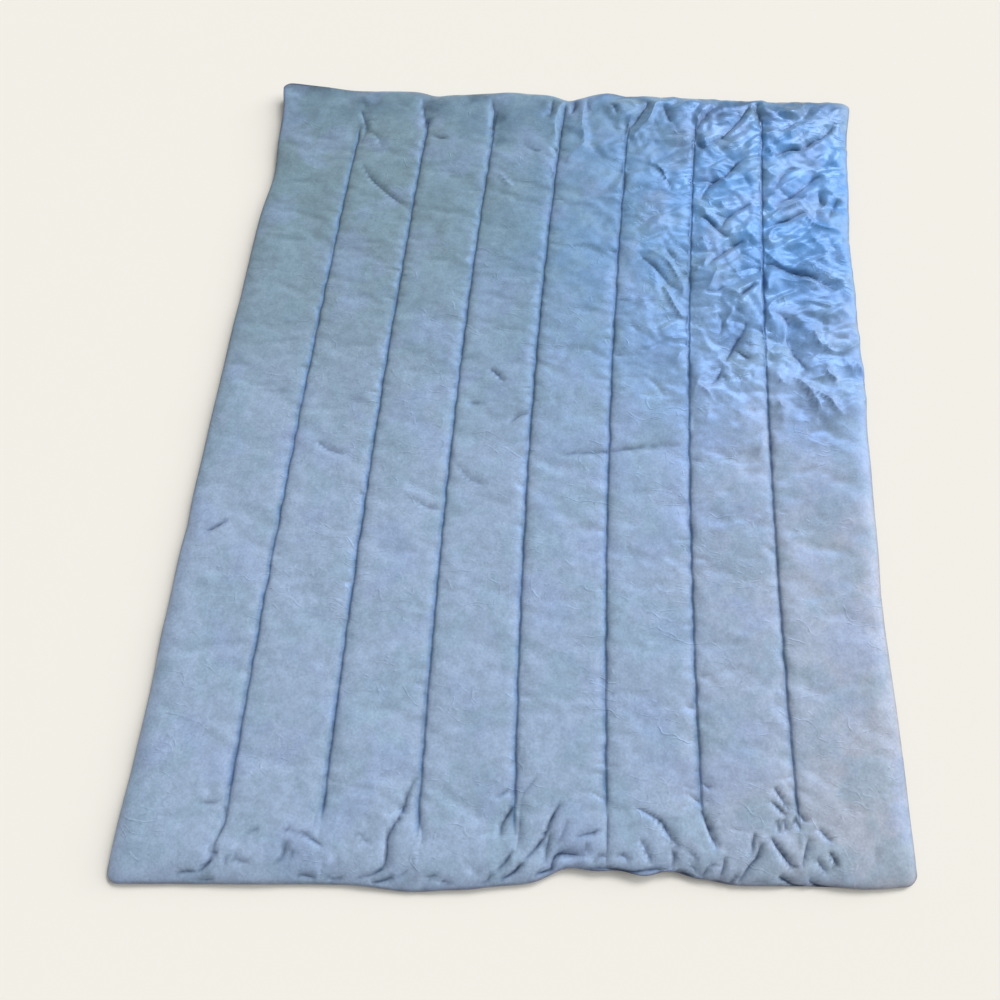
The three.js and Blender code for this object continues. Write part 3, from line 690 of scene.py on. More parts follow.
def around_folds(x, y, folds):
    """For each fold: the part of the grid around it, how far each point there lies from the fold's nearest
    point in x and y, the width of the fold's side there, and its height, which tapers off to both ends as
    sin(pi t)^0.6 for the share t of its length."""
    column_at, row_at = x.mean(0), y.mean(1)
    margin = np.array([30, 95]) * MM
    for height, left, right, line in folds:
        reach = margin + 4 * max(left, right)
        (low_x, low_y), (high_x, high_y) = line.min(0) - reach, line.max(0) + reach
        part = (
            slice(*np.searchsorted(row_at, (low_y, high_y))), slice(*np.searchsorted(column_at, (low_x, high_x))),
        )
        span = np.diff(line, axis=0)
        away = np.stack([x[part], y[part]], -1)[:, :, None] - line[:-1]
        share = np.clip((away * span).sum(-1) / (span ** 2).sum(-1), 0, 1)
        away -= share[..., None] * span
        nearest = (away ** 2).sum(-1).argmin(-1)[..., None]
        share = np.take_along_axis(share, nearest, 2)[..., 0]
        away = np.take_along_axis(away, nearest[..., None], 2)[:, :, 0]
        taper = np.sin(np.pi * (nearest[..., 0] + share) / len(span)).clip(0) ** 0.6
        width = np.where(away[..., 0] > 0.5 * away[..., 1], right, left)
        yield part, away, width, height * taper


def add_folds(z, x, y, folds):
    """Adds each fold to z, sharp along its line: height * exp((e - sqrt(away^2 + e^2)) / (0.6 width)), where e
    is a tenth of the width."""
    for part, away, width, height in around_folds(x, y, folds):
        blunt = 0.1 * width
        distance = np.sqrt((away ** 2).sum(-1) + blunt ** 2)
        z[part] += height * np.exp((blunt - distance) / (0.6 * width))
    return z


def pinched(x, y, free, folds):
    """The grid's points drawn towards each fold's line, so that it falls on them and is crisp: a distance d
    becomes d (1 - 0.88 exp(-(d / 10 mm)^2)), where free is 1 and the fold is 3 mm high or more."""
    x, y = x.copy(), y.copy()
    for part, away, _, height in around_folds(x, y, folds):
        pull = 0.88 * np.exp(-(away ** 2).sum(-1) / (10 * MM) ** 2) * free[part]
        pull *= np.minimum(abs(height) / (3 * MM), 1)
        x[part] -= pull * away[..., 0]
        y[part] -= pull * away[..., 1]
    return x, y


def crease_shade_share(x, y, folds):
    """Painted shade in the creases: how deep in a crease each point lies, 0 to 1, the most of depth / 8 mm *
    exp(-(away / 3.2 mm)^2).
    """
    share = np.zeros_like(x)
    for part, away, _, height in around_folds(x, y, folds):
        depth = np.clip(-height / (8 * MM), 0, 1) * np.exp(-(away ** 2).sum(-1) / (3.2 * MM) ** 2)
        share[part] = np.maximum(share[part], depth)
    return share


def rim_shade_share(x, y):
    """Painted shade with a brownish painted reflection along the rim: how close to the turned seam each point lies,
    0 to 1: exp(-(away / 5 mm)^2), and along the head edge an uneven band besides, exp(-(away / 18 mm)^2)."""
    away = to_edges(x, y)
    band = smooth(0.5 + noise(x / 0.11, y / 0.11, 71)) * np.exp(-(away[3] / (18 * MM)) ** 2)
    return np.maximum(np.exp(-(np.minimum.reduce(away) / (5 * MM)) ** 2), 0.75 * band)


def shaded_share(x, y):
    """How dark the painted shade of the patches makes each point, 0 to 1: the most of the patches darkness *
    exp(-(away / reach)^4), their outlines bent by noise."""
    bent_x = x + 0.012 * noise(x / 0.04, y / 0.04, 72)
    bent_y = y + 0.012 * noise(x / 0.04, y / 0.04, 73)
    share = np.zeros_like(x)
    table_rows = np.array(SHADE_PATCHES, float)
    for (at_x, at_y), (reach, darkness) in zip(from_picture(table_rows[:, :2]), table_rows[:, 2:]):
        away = ((bent_x - at_x) ** 2 + (bent_y - at_y) ** 2) / (reach * MM) ** 2
        share = np.maximum(share, darkness * np.exp(-away ** 2))
    return share


def fill_waves(x, y):
    """Uneven settling of the fill: height * sin(2 pi (x / across + y / along) + phase) * cos(2 pi y / along)."""
    z = 0
    for across, along, height, phase in zip(*FILL_WAVES.values(), FILL_PHASES):
        angle = 2 * math.pi * (x / across + y / along) + phase
        z = z + height * np.sin(angle) * np.cos(2 * math.pi * y / along)
    return z


def facets(x, y, seed):
    """Squared distance from the second nearest of scattered points, one in each cell of 1, less that from the
    nearest: flat facets that meet in sharp ridges and valleys."""
    places = np.random.default_rng(seed).random((64, 64, 2))
    i, j = np.floor(x).astype(int), np.floor(y).astype(int)
    nearest = second = np.full(np.shape(x), np.inf)
    for a in (-1, 0, 1):
        for b in (-1, 0, 1):
            place = places[(i + a) % 64, (j + b) % 64]
            away = (i + a + place[..., 0] - x) ** 2 + (j + b + place[..., 1] - y) ** 2
            second = np.minimum(second, np.maximum(nearest, away))
            nearest = np.minimum(nearest, away)
    return second - nearest


def crumples(x, y):
    """Facets in stretched cells that lie askew, in a few layers. Noise bends them and makes them come and go.
    Most of them lie in the upper right."""
    bent_x = x + 0.03 * noise(x / 0.13, y / 0.13, 11)
    bent_y = y + 0.03 * noise(x / 0.13, y / 0.13, 12)
    z = 0
    for seed, (turn, long, short, height) in enumerate(CRUMPLES, 60):
        cos, sin = math.cos(math.radians(turn)), math.sin(math.radians(turn))
        along, across = bent_x * cos + bent_y * sin, bent_y * cos - bent_x * sin
        strength = np.clip(0.7 + 0.9 * noise(x / 0.15, y / 0.15, seed), 0, None)
        z = z + height * MM * strength * (facets(along / (long * MM), across / (short * MM), seed) - 0.4)
    share = smooth((x + 0.35 * (y - 0.1) - 0.12) / 0.4) * smooth((y + 0.12) / 0.25)
    limit = 11 * MM
    return limit * np.tanh(sizes().crumple * (0.08 + 0.92 * share) * z / limit)


def soft_unevenness(x, y):
    """Three octaves of noise, 90, 40 and 19 mm across, for the lumps of the fill and the slack of the cloth."""
    octaves = ((90, 1.1), (40, 0.6), (19, 0.25))
    return sum(
        height * MM * noise(x / (cell * MM), y / (cell * MM), cell) for cell, height in octaves
    )


def puckering(away, y, column):
    """Ripples along a seam, 24 mm apart and uneven, that fade 18 mm away from it."""
    wave = noise(y / 0.024 + 17 * np.round(column), away / 0.05 + 3, 31)
    return sizes().pucker * wave * np.exp(-(away / 0.018) ** 2)


def rim_z(x, y):
    """Height of the rim's top: even, with soft waves, and the bells lift * exp(-(away / reach)^2) where it
    stands off the floor."""
    z = sizes().rim_height + RIM_WAVE * noise(x / 0.14 + 5, y / 0.14, 51)
    for at_x, at_y, reach, lift in zip(*RIM_LIFTS.values()):
        z = z + lift * np.exp(-((x - at_x) ** 2 + (y - at_y) ** 2) / reach ** 2)
    return z


def under_z(x, y, column):
    """Back panel: on the floor, drawn up in a groove along each seam and curving up to the rim."""
    away, sewn = nearest_seam(x, y, column)
    rim = (1 - np.clip(np.minimum.reduce(to_edges(x, y)) / sizes().rim_tuck, 0, 1)) ** 2.2
    groove = sizes().sewn_lift * sewn * (1 - smooth(abs(away) / 0.016))
    return groove + (rim_z(x, y) - BACK_DROP) * rim


def main_forms(x, y, column):
    """Top panel: full loft inside the rim, drawn down to the stitches along each seam."""
    lowest = rim_z(x, y)
    loft = lowest + (sizes().crown + fill_waves(x, y) - lowest) * rim_loft(x, y)
    away, sewn = nearest_seam(x, y, column)
    jagged = 1 + 0.4 * noise(y / 0.019 + 11 * np.sign(away), column * 0.4, 32)
    share = rise(jagged * abs(away) / sizes().valley_reach, 3, 0.65)
    valley = sizes().sewn_top + (loft - sizes().sewn_top) * share
    return loft * (1 - sewn) + valley * sewn


def relief(x, y, column, folds):
    """Folds, creases, crumples and puckers on the top panel, all fading to nothing on a stitched line."""
    away, sewn = nearest_seam(x, y, column)
    z = crumples(x, y) + soft_unevenness(x, y) + puckering(away, y, column) * sewn
    z = add_folds(z, x, y, folds)
    return z * clear_of_seams(away, sewn) * (0.4 + 0.6 * np.sqrt(rim_loft(x, y)))


def clear_of_seams(away, sewn):
    """0 on a stitched line, and 1 from about 8 mm away from it."""
    return 1 - sewn * np.exp(-(away / 0.005) ** 2)


# The settling of the cloth


def grid_faces(rows, columns):
    """Quads of a grid of vertices, anticlockwise when rows run up and columns to the right."""
    index = np.arange(rows * columns).reshape(rows, columns)
    return np.stack([index[:-1, :-1], index[:-1, 1:], index[1:, 1:], index[1:, :-1]], -1).reshape(-1, 4)


def new_mesh(name, points, face_sets):
    """A mesh object of the points, and of sets of faces with as many corners each."""
    mesh = bpy.data.meshes.new(name)
    corners = np.concatenate([faces.ravel() for faces in face_sets])
    counts = np.concatenate([np.full(len(faces), faces.shape[1]) for faces in face_sets])
    mesh.vertices.add(len(points))
    mesh.vertices.foreach_set("co", points.astype(np.float32).ravel())
    mesh.loops.add(len(corners))
    mesh.loops.foreach_set("vertex_index", corners.astype(np.int32))
    mesh.polygons.add(len(counts))
    mesh.polygons.foreach_set("loop_start", (np.cumsum(counts) - counts).astype(np.int32))
    mesh.polygons.foreach_set("use_smooth", np.ones(len(counts), bool))
    mesh.update(calc_edges=True)
    if mesh.validate():
        raise RuntimeError(f"the mesh of {name} has faces that don't hold")
    piece = bpy.data.objects.new(name, mesh)
    bpy.context.scene.collection.objects.link(piece)
    return piece


def resample(stops_from, stops_to):
    """Matrix of cubic weights that carries values from one row of stops to another: for the share t between
    two stops, (-t + 2t^2 - t^3, 2 - 5t^2 + 3t^3, t + 4t^2 - 3t^3, -t^2 + t^3) / 2 on the four around it."""
    last = len(stops_from) - 1
    place = np.interp(stops_to, stops_from, np.arange(last + 1))
    index = np.minimum(place.astype(int), last - 1)
    t = place - index
    weights = np.stack([
        -t + 2 * t ** 2 - t ** 3, 2 - 5 * t ** 2 + 3 * t ** 3, t + 4 * t ** 2 - 3 * t ** 3, -t ** 2 + t ** 3,
    ]) / 2
    matrix = np.zeros((len(stops_to), last + 1))
    for offset, weight in zip(range(-1, 3), weights):
        np.add.at(matrix, (np.arange(len(stops_to)), np.clip(index + offset, 0, last)), weight)
    return matrix


def settle(columns, rows):
    """How far the top panel moves when the fill presses it up and it is a little longer than its seams.

    A coarser grid of the same panel is given Cloth, held along the rim and the stitched lines, blown up a
    little, and let grow more in the upper right and at the foot. Of what each point moved only the wrinkles
    are kept, as the loft is given already: a bell-shaped average along each column, 6 rows wide, is taken
    off. The rest, held between limits and faded out to nothing at the rim, is carried over to the fine grid."""
    own_columns = column_stops(DRAPE_RIM, DRAPE_SEAM, DRAPE_CHANNEL_FACES)
    own_rows = row_stops(DRAPE_ENDS, DRAPE_ROWS, EVEN_SPREAD)
    x, y, column = plan(own_columns, own_rows)
    away, sewn = nearest_seam(x, y, column)
    z = main_forms(x, y, column) + relief(x, y, column, drawn_folds())
    start = np.stack([x, y, z], -1)
    panel = new_mesh("settling_panel", start.reshape(-1, 3), [grid_faces(*x.shape)])

    held = np.zeros(x.shape)
    held[[0, -1], :] = held[:, [0, -1]] = 1
    held[(abs(away) < 2 * MM) & (sewn > 0.5)] = 1
    slack = 0.25 + 0.75 * smooth((x - 0.15) / 0.4) * smooth((y + 0.25) / 0.4)
    slack = np.maximum(slack, 0.85 * smooth((foot_edge(x) + 0.19 - y) / 0.08))
    for name, weights in (("held", held), ("slack", slack)):
        group = panel.vertex_groups.new(name=name)
        flat = np.round(weights.ravel(), 1)
        for value in np.unique(flat[flat > 0]):
            group.add(np.nonzero(flat == value)[0].tolist(), float(value), "REPLACE")

    cloth = panel.modifiers.new("Cloth", "CLOTH")
    cloth.settings.quality = 6
    cloth.settings.mass = 0.15
    cloth.settings.tension_stiffness = cloth.settings.compression_stiffness = 12
    cloth.settings.shear_stiffness = 4
    cloth.settings.bending_stiffness = 0.02
    cloth.settings.air_damping = 2
    cloth.settings.vertex_group_mass = "held"
    cloth.settings.use_pressure = True
    cloth.settings.uniform_pressure_force = 0.45
    cloth.settings.vertex_group_shrink = "slack"
    cloth.settings.shrink_min = -0.004
    cloth.settings.shrink_max = -0.06
    cloth.settings.effector_weights.gravity = 0
    cloth.collision_settings.use_collision = cloth.collision_settings.use_self_collision = False
    for step in range(1, 23):
        bpy.context.scene.frame_set(step)
    settled = panel.evaluated_get(bpy.context.evaluated_depsgraph_get()).data
    moved = np.empty(start.size, np.float32)
    settled.vertices.foreach_get("co", moved)
    moved = moved.reshape(start.shape) - start
    bpy.data.meshes.remove(panel.data)
    bpy.context.scene.frame_set(1)

    row = np.arange(DRAPE_ROWS)
    bell = np.exp(-((row - row[:, None]) / 6) ** 2 / 2)
    moved -= np.einsum("ri,ijk->rjk", bell / bell.sum(1, keepdims=True), moved)
    moved = np.clip(moved, -4 * MM, 4 * MM) * smooth(np.minimum.reduce(to_edges(x, y)) / (40 * MM))[..., None]
    across = resample(own_columns, columns)
    along = resample(row_lengths(own_rows), row_lengths(rows))
    return np.einsum("ri,ijk,cj->rck", along, moved, across)


# The shell


def outer_loop(rows, columns):
    """Indices of a grid's outer vertices, anticlockwise from the first."""
    index = np.arange(rows * columns).reshape(rows, columns)
    return np.concatenate([index[0, :-1], index[:-1, -1], index[-1, :0:-1], index[:0:-1, 0]])


def inward(loop):
    """Unit vectors in plan that point inwards from an anticlockwise loop: its tangent turned left."""
    tangent = np.roll(loop, -1, 0) - np.roll(loop, 1, 0)
    turned = np.stack([-tangent[:, 1], tangent[:, 0]], -1)
    return turned / np.linalg.norm(turned, axis=1, keepdims=True)


def strip(outer, inner):
    """Quads between two closed loops with as many vertices."""
    return np.stack([outer, inner, np.roll(inner, -1), np.roll(outer, -1)], -1)


def gathered_strip(outer, inner):
    """Triangles between a closed loop and one with a third as many vertices: four for every three edges."""
    a = outer.reshape(-1, 3)
    a3, b1 = np.roll(outer, -3).reshape(-1, 3)[:, 0], np.roll(inner, -1)
    corners = [(a[:, 0], inner, a[:, 1]), (a[:, 1], inner, b1), (a[:, 1], b1, a[:, 2]), (a[:, 2], b1, a3)]
    return np.concatenate([np.stack(three, -1) for three in corners])


def fine_grid():
    """Stops, plan and centre of the top panel's grid. The centre of the outline's box is the frame's origin."""
    columns = column_stops(RIM_INSETS, BESIDE_SEAM, CHANNEL_FACES)
    rows = row_stops(END_INSETS, ROWS, ROW_SPREAD)
    x, y, column = plan(columns, rows)
    centre = np.array([(x.min() + x.max()) / 2, (y.min() + y.max()) / 2, 0])
    return columns, rows, x, y, column, centre


def per_vertex(values, on_back=1):
    """Values on the top panel's grid, repeated for the two curl loops and, times a factor, for the back panel."""
    rim = outer_loop(*values.shape[:2])
    step = slice(None, None, UNDER_STEP)
    flat, back = (part.reshape((-1,) + values.shape[2:]) for part in (values, values[step, step]))
    return np.concatenate([flat, flat[rim], flat[rim], on_back * back])


def store(piece, name, values):
    """A number at each vertex, for the material to read."""
    attribute = piece.data.attributes.new(name, "FLOAT", "POINT")
    attribute.data.foreach_set("value", values.astype(np.float32))


def add_uv(piece, places):
    """A UV map of places on the cut cloth, in metres."""
    corners = np.empty(len(piece.data.loops), np.int32)
    piece.data.loops.foreach_get("vertex_index", corners)
    layer = piece.data.uv_layers.new(name="cut_cloth")
    layer.uv.foreach_set("vector", places[corners].astype(np.float32).ravel())


def finish_piece(piece, material):
    piece.data.materials.append(material)
    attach(piece, "root")


def make_shell():
    """The whole comforter as one closed shell: top panel, curled rim and back panel."""
    columns, rows, x, y, column, centre = fine_grid()
    step = slice(None, None, UNDER_STEP)
    back = np.stack([x, y, under_z(x, y, column)], -1)[step, step]
    moved = settle(columns, rows)

    drawn = drawn_folds()
    folds = drawn + strewn_folds(41) + pucker_folds(42)
    free = clear_of_seams(*nearest_seam(x, y, column)) * smooth(np.minimum.reduce(to_edges(x, y)) / 0.012)
    x, y = pinched(x, y, free, folds)
    z = main_forms(x, y, column) + relief(x, y, column, folds) + moved[..., 2]
    z = np.maximum(z, under_z(x, y, column) + LEAST_THICKNESS)
    top = np.stack([x + moved[..., 0], y + moved[..., 1], z], -1)

    rim = outer_loop(*x.shape)
    edge = top.reshape(-1, 3)[rim]
    into = inward(edge[:, :2])
    curls = [
        np.column_stack([edge[:, :2] + into * inset, edge[:, 2] - drop])
        for inset, drop in zip(CURL_INSETS, CURL_DROPS)
    ]
    back_rim = outer_loop(*back.shape[:2])
    back_points = back.reshape(-1, 3).copy()
    back_points[back_rim, :2] = edge[step, :2] + into[step] * BACK_INSET

    points = np.concatenate([top.reshape(-1, 3), *curls, back_points]) - centre
    first_curl = x.size + np.arange(len(rim))
    second_curl = first_curl + len(rim)
    back_start = x.size + 2 * len(rim)
    shell = new_mesh(SHELL, points, [
        grid_faces(*x.shape),
        strip(rim, first_curl),
        strip(first_curl, second_curl),
        gathered_strip(second_curl, back_start + back_rim),
        back_start + grid_faces(*back.shape[:2])[:, ::-1],
    ])

    away, sewn = nearest_seam(x, y, column)
    # Painted shade in each seam's valley, reaching further on its left side, whose flank faces the light
    store(shell, "sewn", per_vertex(sewn * np.exp(-(away / np.where(away < 0, 0.007, 0.0042)) ** 2)))
    # Painted shade along the creases
    store(shell, "crease_shade", per_vertex(crease_shade_share(x, y, drawn), on_back=0))
    # Painted shade with a brownish painted reflection along the rim
    store(shell, "rim", per_vertex(rim_shade_share(x, y)))
    # Painted shade in patches at the head end and among the crumples
    store(shell, "shaded", per_vertex(shaded_share(x, y), on_back=0))
    from_left = column_x(columns, 0.0) - column_x(0.0, 0.0)
    cut = np.stack(np.broadcast_arrays(from_left, row_lengths(rows)[:, None]), -1)
    add_uv(shell, per_vertex(cut))
    finish_piece(shell, washed_microfibre())
    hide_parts(NODE)


# The stitches

# A laid stitch as a spindle: its ends dip into the cloth, and two rings of four points stand a little proud.
# Columns are the share of its length, and the offsets to the side and up in thread widths.
SPINDLE = np.array([
    [0.04, 0, -0.5],
    [0.26, 0.5, 0.05],
    [0.26, 0, 0.42],
    [0.26, -0.5, 0.05],
    [0.26, 0, -0.3],
    [0.74, 0.5, 0.05],
    [0.74, 0, 0.42],
    [0.74, -0.5, 0.05],
    [0.74, 0, -0.3],
    [0.96, 0, -0.5],
])
SPINDLE_ENDS = np.array([[0, 1, 2], [0, 2, 3], [0, 3, 4], [0, 4, 1], [9, 6, 5], [9, 7, 6], [9, 8, 7], [9, 5, 8]])
SPINDLE_SIDES = np.array([[5, 6, 2, 1], [6, 7, 3, 2], [7, 8, 4, 3], [8, 5, 1, 4]])


def stitch_points(line, low, high, up):
    """Points of the spindles along one seam of the given line of points, from y = low to y = high."""
    count = int((high - low) / sizes().stitch)
    ends = [
        np.stack([np.interp(at, line[:, 1], line[:, axis]) for axis in range(3)], -1)
        for at in (low + sizes().stitch * np.arange(count), low + sizes().stitch * np.arange(1, count + 1))
    ]
    along = ends[1] - ends[0]
    side = np.cross(along, (0, 0, up))
    side /= np.linalg.norm(side, axis=1, keepdims=True)
    share, aside, lift = (SPINDLE[:, i, None] for i in range(3))
    offsets = side[:, None] * aside * sizes().thread + np.array([0, 0, up]) * lift * sizes().thread
    return ends[0][:, None] + along[:, None] * share + offsets


def make_stitches():
    """Stitches on every seam, those of the top panel in one mesh and those of the back panel in another."""
    shell = bpy.data.objects.get(SHELL)
    if shell is None:
        raise RuntimeError("make the quilted shell first")
    columns, _, x, y, _, centre = fine_grid()
    points = np.empty(len(shell.data.vertices) * 3, np.float32)
    shell.data.vertices.foreach_get("co", points)
    points = points.reshape(-1, 3).astype(float)
    step = slice(None, None, UNDER_STEP)
    back_shape = x[step, step].shape
    panels = {
        "top": (points[:x.size].reshape(x.shape + (3,)), columns, 1),
        "back": (points[-back_shape[0] * back_shape[1]:].reshape(back_shape + (3,)), columns[step], -1),
    }
    thread = spun_polyester()
    for name, (panel, stops, up) in panels.items():
        rows = []
        for seam in range(1, SEAMS + 1):
            line = panel[:, np.argmin(abs(stops - seam))]
            at = course_x(seam, 0.0)
            low = foot_edge(at) + COURSES["gap_foot"][seam] - centre[1]
            high = head_edge(at) - COURSES["gap_head"][seam] - centre[1]
            rows.append(stitch_points(line, low, high, up))
        spindles = np.concatenate(rows)
        starts = np.arange(len(spindles))[:, None, None] * len(SPINDLE)
        faces = [(starts + shape).reshape(-1, shape.shape[1]) for shape in (SPINDLE_ENDS, SPINDLE_SIDES)]
        piece = new_mesh(f"channel_stitches_{name}", spindles.reshape(-1, 3), faces)
        finish_piece(piece, thread)


# Materials

# The fine crinkle of washed cloth, as layers of short ridges: their turn from the x axis in degrees, and
# their length, spacing and height in millimetres
STROKES = [
    (-24, 90, 44, 0.7),
    (40, 66, 30, 0.5),
]
SMOOTH = {"interpolation_type": "SMOOTHSTEP"}


def add(tree, kind, inputs=(), **settings):
    """Adds a node, sets its properties, and gives its inputs values or links from other nodes' outputs, either
    by name or number or in a row from the first."""
    node = tree.nodes.new("ShaderNode" + kind)
    for name, value in settings.items():
        setattr(node, name, value)
    for name, value in inputs.items() if isinstance(inputs, dict) else enumerate(inputs):
        if isinstance(value, bpy.types.NodeSocket):
            tree.links.new(value, node.inputs[name])
        else:
            node.inputs[name].default_value = value
    return node


def new_material(name):
    """A material with an empty node tree and an output."""
    material = bpy.data.materials.new(name)
    material.use_nodes = True
    material.node_tree.nodes.clear()
    return material, material.node_tree


def per_metre(millimetres):
    """Scale of a texture whose cells are that wide, in a space of metres."""
    return 1 / (millimetres * MM)


def washed_microfibre():
    """Plain-woven polyester microfibre, brushed, piece-dyed and much washed: matt with a faint satin sheen.

    Its hue drifts in broad uneven fields from slate and sky to lavender and ash. This is partly faded dye and partly
    painted light and shade: painted shade darkens the upper left and the head end, painted cool light makes the
    upper right bluer, and the lower half is painted paler. Painted shade is also tinted into the creases, the seam
    valleys, the rim and some patches. The weave's threads lie 0.3 mm apart, too fine to show, so its grain is drawn
    5 mm across."""
    material, tree = new_material("washed_microfibre")
    shade = colours()
    place = add(tree, "TexCoord").outputs["Object"]
    drift = add(tree, "TexNoise", {"Vector": place, "Scale": per_metre(300), "Detail": 2.0}).outputs["Color"]
    centred = add(tree, "VectorMath", {0: drift, 1: (0.5, 0.5, 0.5)}, operation="SUBTRACT").outputs[0]
    wandered = add(tree, "VectorMath", {0: centred, 1: (0.5, 0.5, 0), 2: place}, operation="MULTIPLY_ADD").outputs[0]
    axes = add(tree, "SeparateXYZ", {0: wandered})
    swirl = add(tree, "TexNoise", {"Vector": place, "Scale": per_metre(70), "Detail": 2.0}).outputs["Color"]
    bent = add(tree, "VectorMath", {0: swirl, 1: (0.06, 0.06, 0), 2: place}, operation="MULTIPLY_ADD").outputs[0]

    # Fractal noise in cells of several sizes: the width of the largest in millimetres, its detail and roughness
    noises = {
        width: add(tree, "TexNoise", {
            "Vector": place, "Scale": per_metre(width), "Detail": detail, "Roughness": rough,
        }).outputs
        for width, detail, rough in ((120, 3, 0.5), (100, 1, 0.5), (80, 3, 0.5), (60, 2, 0.5), (26, 6, 0.75),
                                     (22, 2, 0.5), (5, 2, 0.6))
    }

    # Cloth colour, partly the dye's uneven fading and partly painted light and shade, darker at the upper left and
    # bluer at the upper right: the head end from left to right, the foot end, and one over the other
    grounds = ((-0.4, 0.75, shade.slate, shade.sky), (0.2, 0.9, shade.lavender, shade.ash))
    upper, lower = (
        add(tree, "Mix", {
            0: add(tree, "MapRange", (axes.outputs[0], low, high), **SMOOTH).outputs[0], 6: left, 7: right,
        }, data_type="RGBA").outputs[2]
        for low, high, left, right in grounds
    )
    cloth = lower
    washes = (
        (axes.outputs[1], -0.35, 0.62, 1, upper),
        # A darker strip along the head end: painted shade where the cloth there turns away from the light
        (axes.outputs[1], 0.8, 1.0, 0.4, linear("5A7890")),
        (noises[80]["Fac"], 0.45, 0.62, 0.35, linear("88A6B6")),
        (noises[120]["Fac"], 0.5, 0.66, 0.3, linear("97AAD4")),
    )
    for value, low, high, most, wash in washes:
        share = add(tree, "MapRange", (value, low, high, 0, most), **SMOOTH).outputs[0]
        cloth = add(tree, "Mix", {0: share, 6: cloth, 7: wash}, data_type="RGBA").outputs[2]
    for width, low, high, swing in ((26, 0.36, 0.64, 0.09), (5, 0.3, 0.7, 0.07)):
        value = add(tree, "MapRange", (noises[width]["Fac"], low, high, 1 - swing, 1 + swing), **SMOOTH).outputs[0]
        cloth = add(tree, "HueSaturation", {"Value": value, "Color": cloth}).outputs[0]

    # Painted shade, each a tint multiplied over the cloth, a little uneven: in the shaded patches, in the creases,
    # along the rim with a brownish painted reflection, and in the seam valleys
    uneven = add(tree, "MapRange", (noises[22]["Fac"], 0.35, 0.65, 0.75, 1.1), **SMOOTH).outputs[0]
    painted_tints = (("shaded", shade.shaded), ("crease_shade", shade.crease_shade), ("rim", shade.rim), ("sewn", shade.seam_shade))
    for name, tint in painted_tints:
        painted_share = add(tree, "Attribute", attribute_name=name).outputs["Fac"]
        share = add(tree, "Math", (painted_share, uneven), operation="MULTIPLY", use_clamp=True).outputs[0]
        cloth = add(tree, "Mix", {0: share, 6: cloth, 7: tint}, data_type="RGBA", blend_type="MULTIPLY").outputs[2]

    # Facets of crumpled cloth, at half the size of those in the mesh, mostly in the upper right
    share = 1.0
    for axis, low, high in ((0, 0.05, 0.5), (1, -0.3, 0.2)):
        side = add(tree, "MapRange", (axes.outputs[axis], low, high), **SMOOTH).outputs[0]
        share = add(tree, "Math", (share, side), operation="MULTIPLY").outputs[0]
    rough = add(tree, "MapRange", (share, 0, 1, 0.46, 0.33)).outputs[0]
    share = add(tree, "MapRange", (share, 0, 1, 0.15, 1)).outputs[0]
    masks = add(tree, "SeparateColor", {"Color": noises[100]["Color"]}).outputs
    height = 0.0
    for layer, (turn, long, short, high) in enumerate(CRUMPLES):
        laid = add(tree, "Mapping", {"Vector": bent, "Rotation": (0, 0, math.radians(-turn)),
                                     "Scale": (2 * per_metre(long), 2 * per_metre(short), 0)}).outputs[0]
        dish = add(tree, "TexVoronoi", {"Vector": laid, "Scale": 1.0}, voronoi_dimensions="2D").outputs["Distance"]
        bowl = add(tree, "Math", (dish, 2.0), operation="POWER").outputs[0]
        limits = (0.4, 0.6, 0, 0.15 * high) if layer % 2 else (0.4, 0.6, 0.15 * high, 0)
        mask = add(tree, "MapRange", (masks[layer % 3], *limits), **SMOOTH).outputs[0]
        height = add(tree, "Math", (bowl, mask, height), operation="MULTIPLY_ADD").outputs[0]
    height = add(tree, "Math", (height, share), operation="MULTIPLY").outputs[0]
    crumpled = add(tree, "Bump", {"Height": height, "Strength": 1.0, "Distance": 1 * MM}).outputs[0]

    height = 0.0
    for turn, long, short, high in STROKES:
        laid = add(tree, "Mapping", {"Vector": bent, "Rotation": (0, 0, math.radians(-turn)),
                                     "Scale": (per_metre(long), per_metre(short), 0)}).outputs[0]
        stroke = add(tree, "TexNoise", {"Vector": laid, "Scale": 1.0, "Detail": 1.0, "Offset": 1.0},
                     noise_type="RIDGED_MULTIFRACTAL", noise_dimensions="2D").outputs["Fac"]
        ridge = add(tree, "MapRange", (stroke, 1.15, 1.65), **SMOOTH).outputs[0]
        height = add(tree, "Math", (ridge, high, height), operation="MULTIPLY_ADD").outputs[0]
    share = add(tree, "MapRange", (masks[1], 0.45, 0.6, 0.1, 1), **SMOOTH).outputs[0]
    height = add(tree, "Math", (height, share), operation="MULTIPLY").outputs[0]
    crinkled = add(tree, "Bump", {
        "Height": height, "Strength": 1.0, "Distance": 1 * MM, "Normal": crumpled,
    }).outputs[0]
    grain = add(tree, "Bump", {
        "Height": noises[5]["Fac"], "Strength": 0.5, "Distance": 0.3 * MM, "Normal": crinkled,
    }).outputs[0]
    brushed = add(tree, "MapRange", (noises[60]["Fac"], 0.3, 0.7, -0.04, 0.04), **SMOOTH).outputs[0]
    surface = add(tree, "BsdfPrincipled", {
        "Base Color": cloth, "Normal": grain,
        "Roughness": add(tree, "Math", (rough, brushed), operation="ADD").outputs[0],
        "Specular IOR Level": 0.7, "Specular Tint": linear("70AAFF"),
        "Sheen Weight": 0.15, "Sheen Roughness": 0.45,
    })
    add(tree, "OutputMaterial", {"Surface": surface.outputs[0]})
    return material


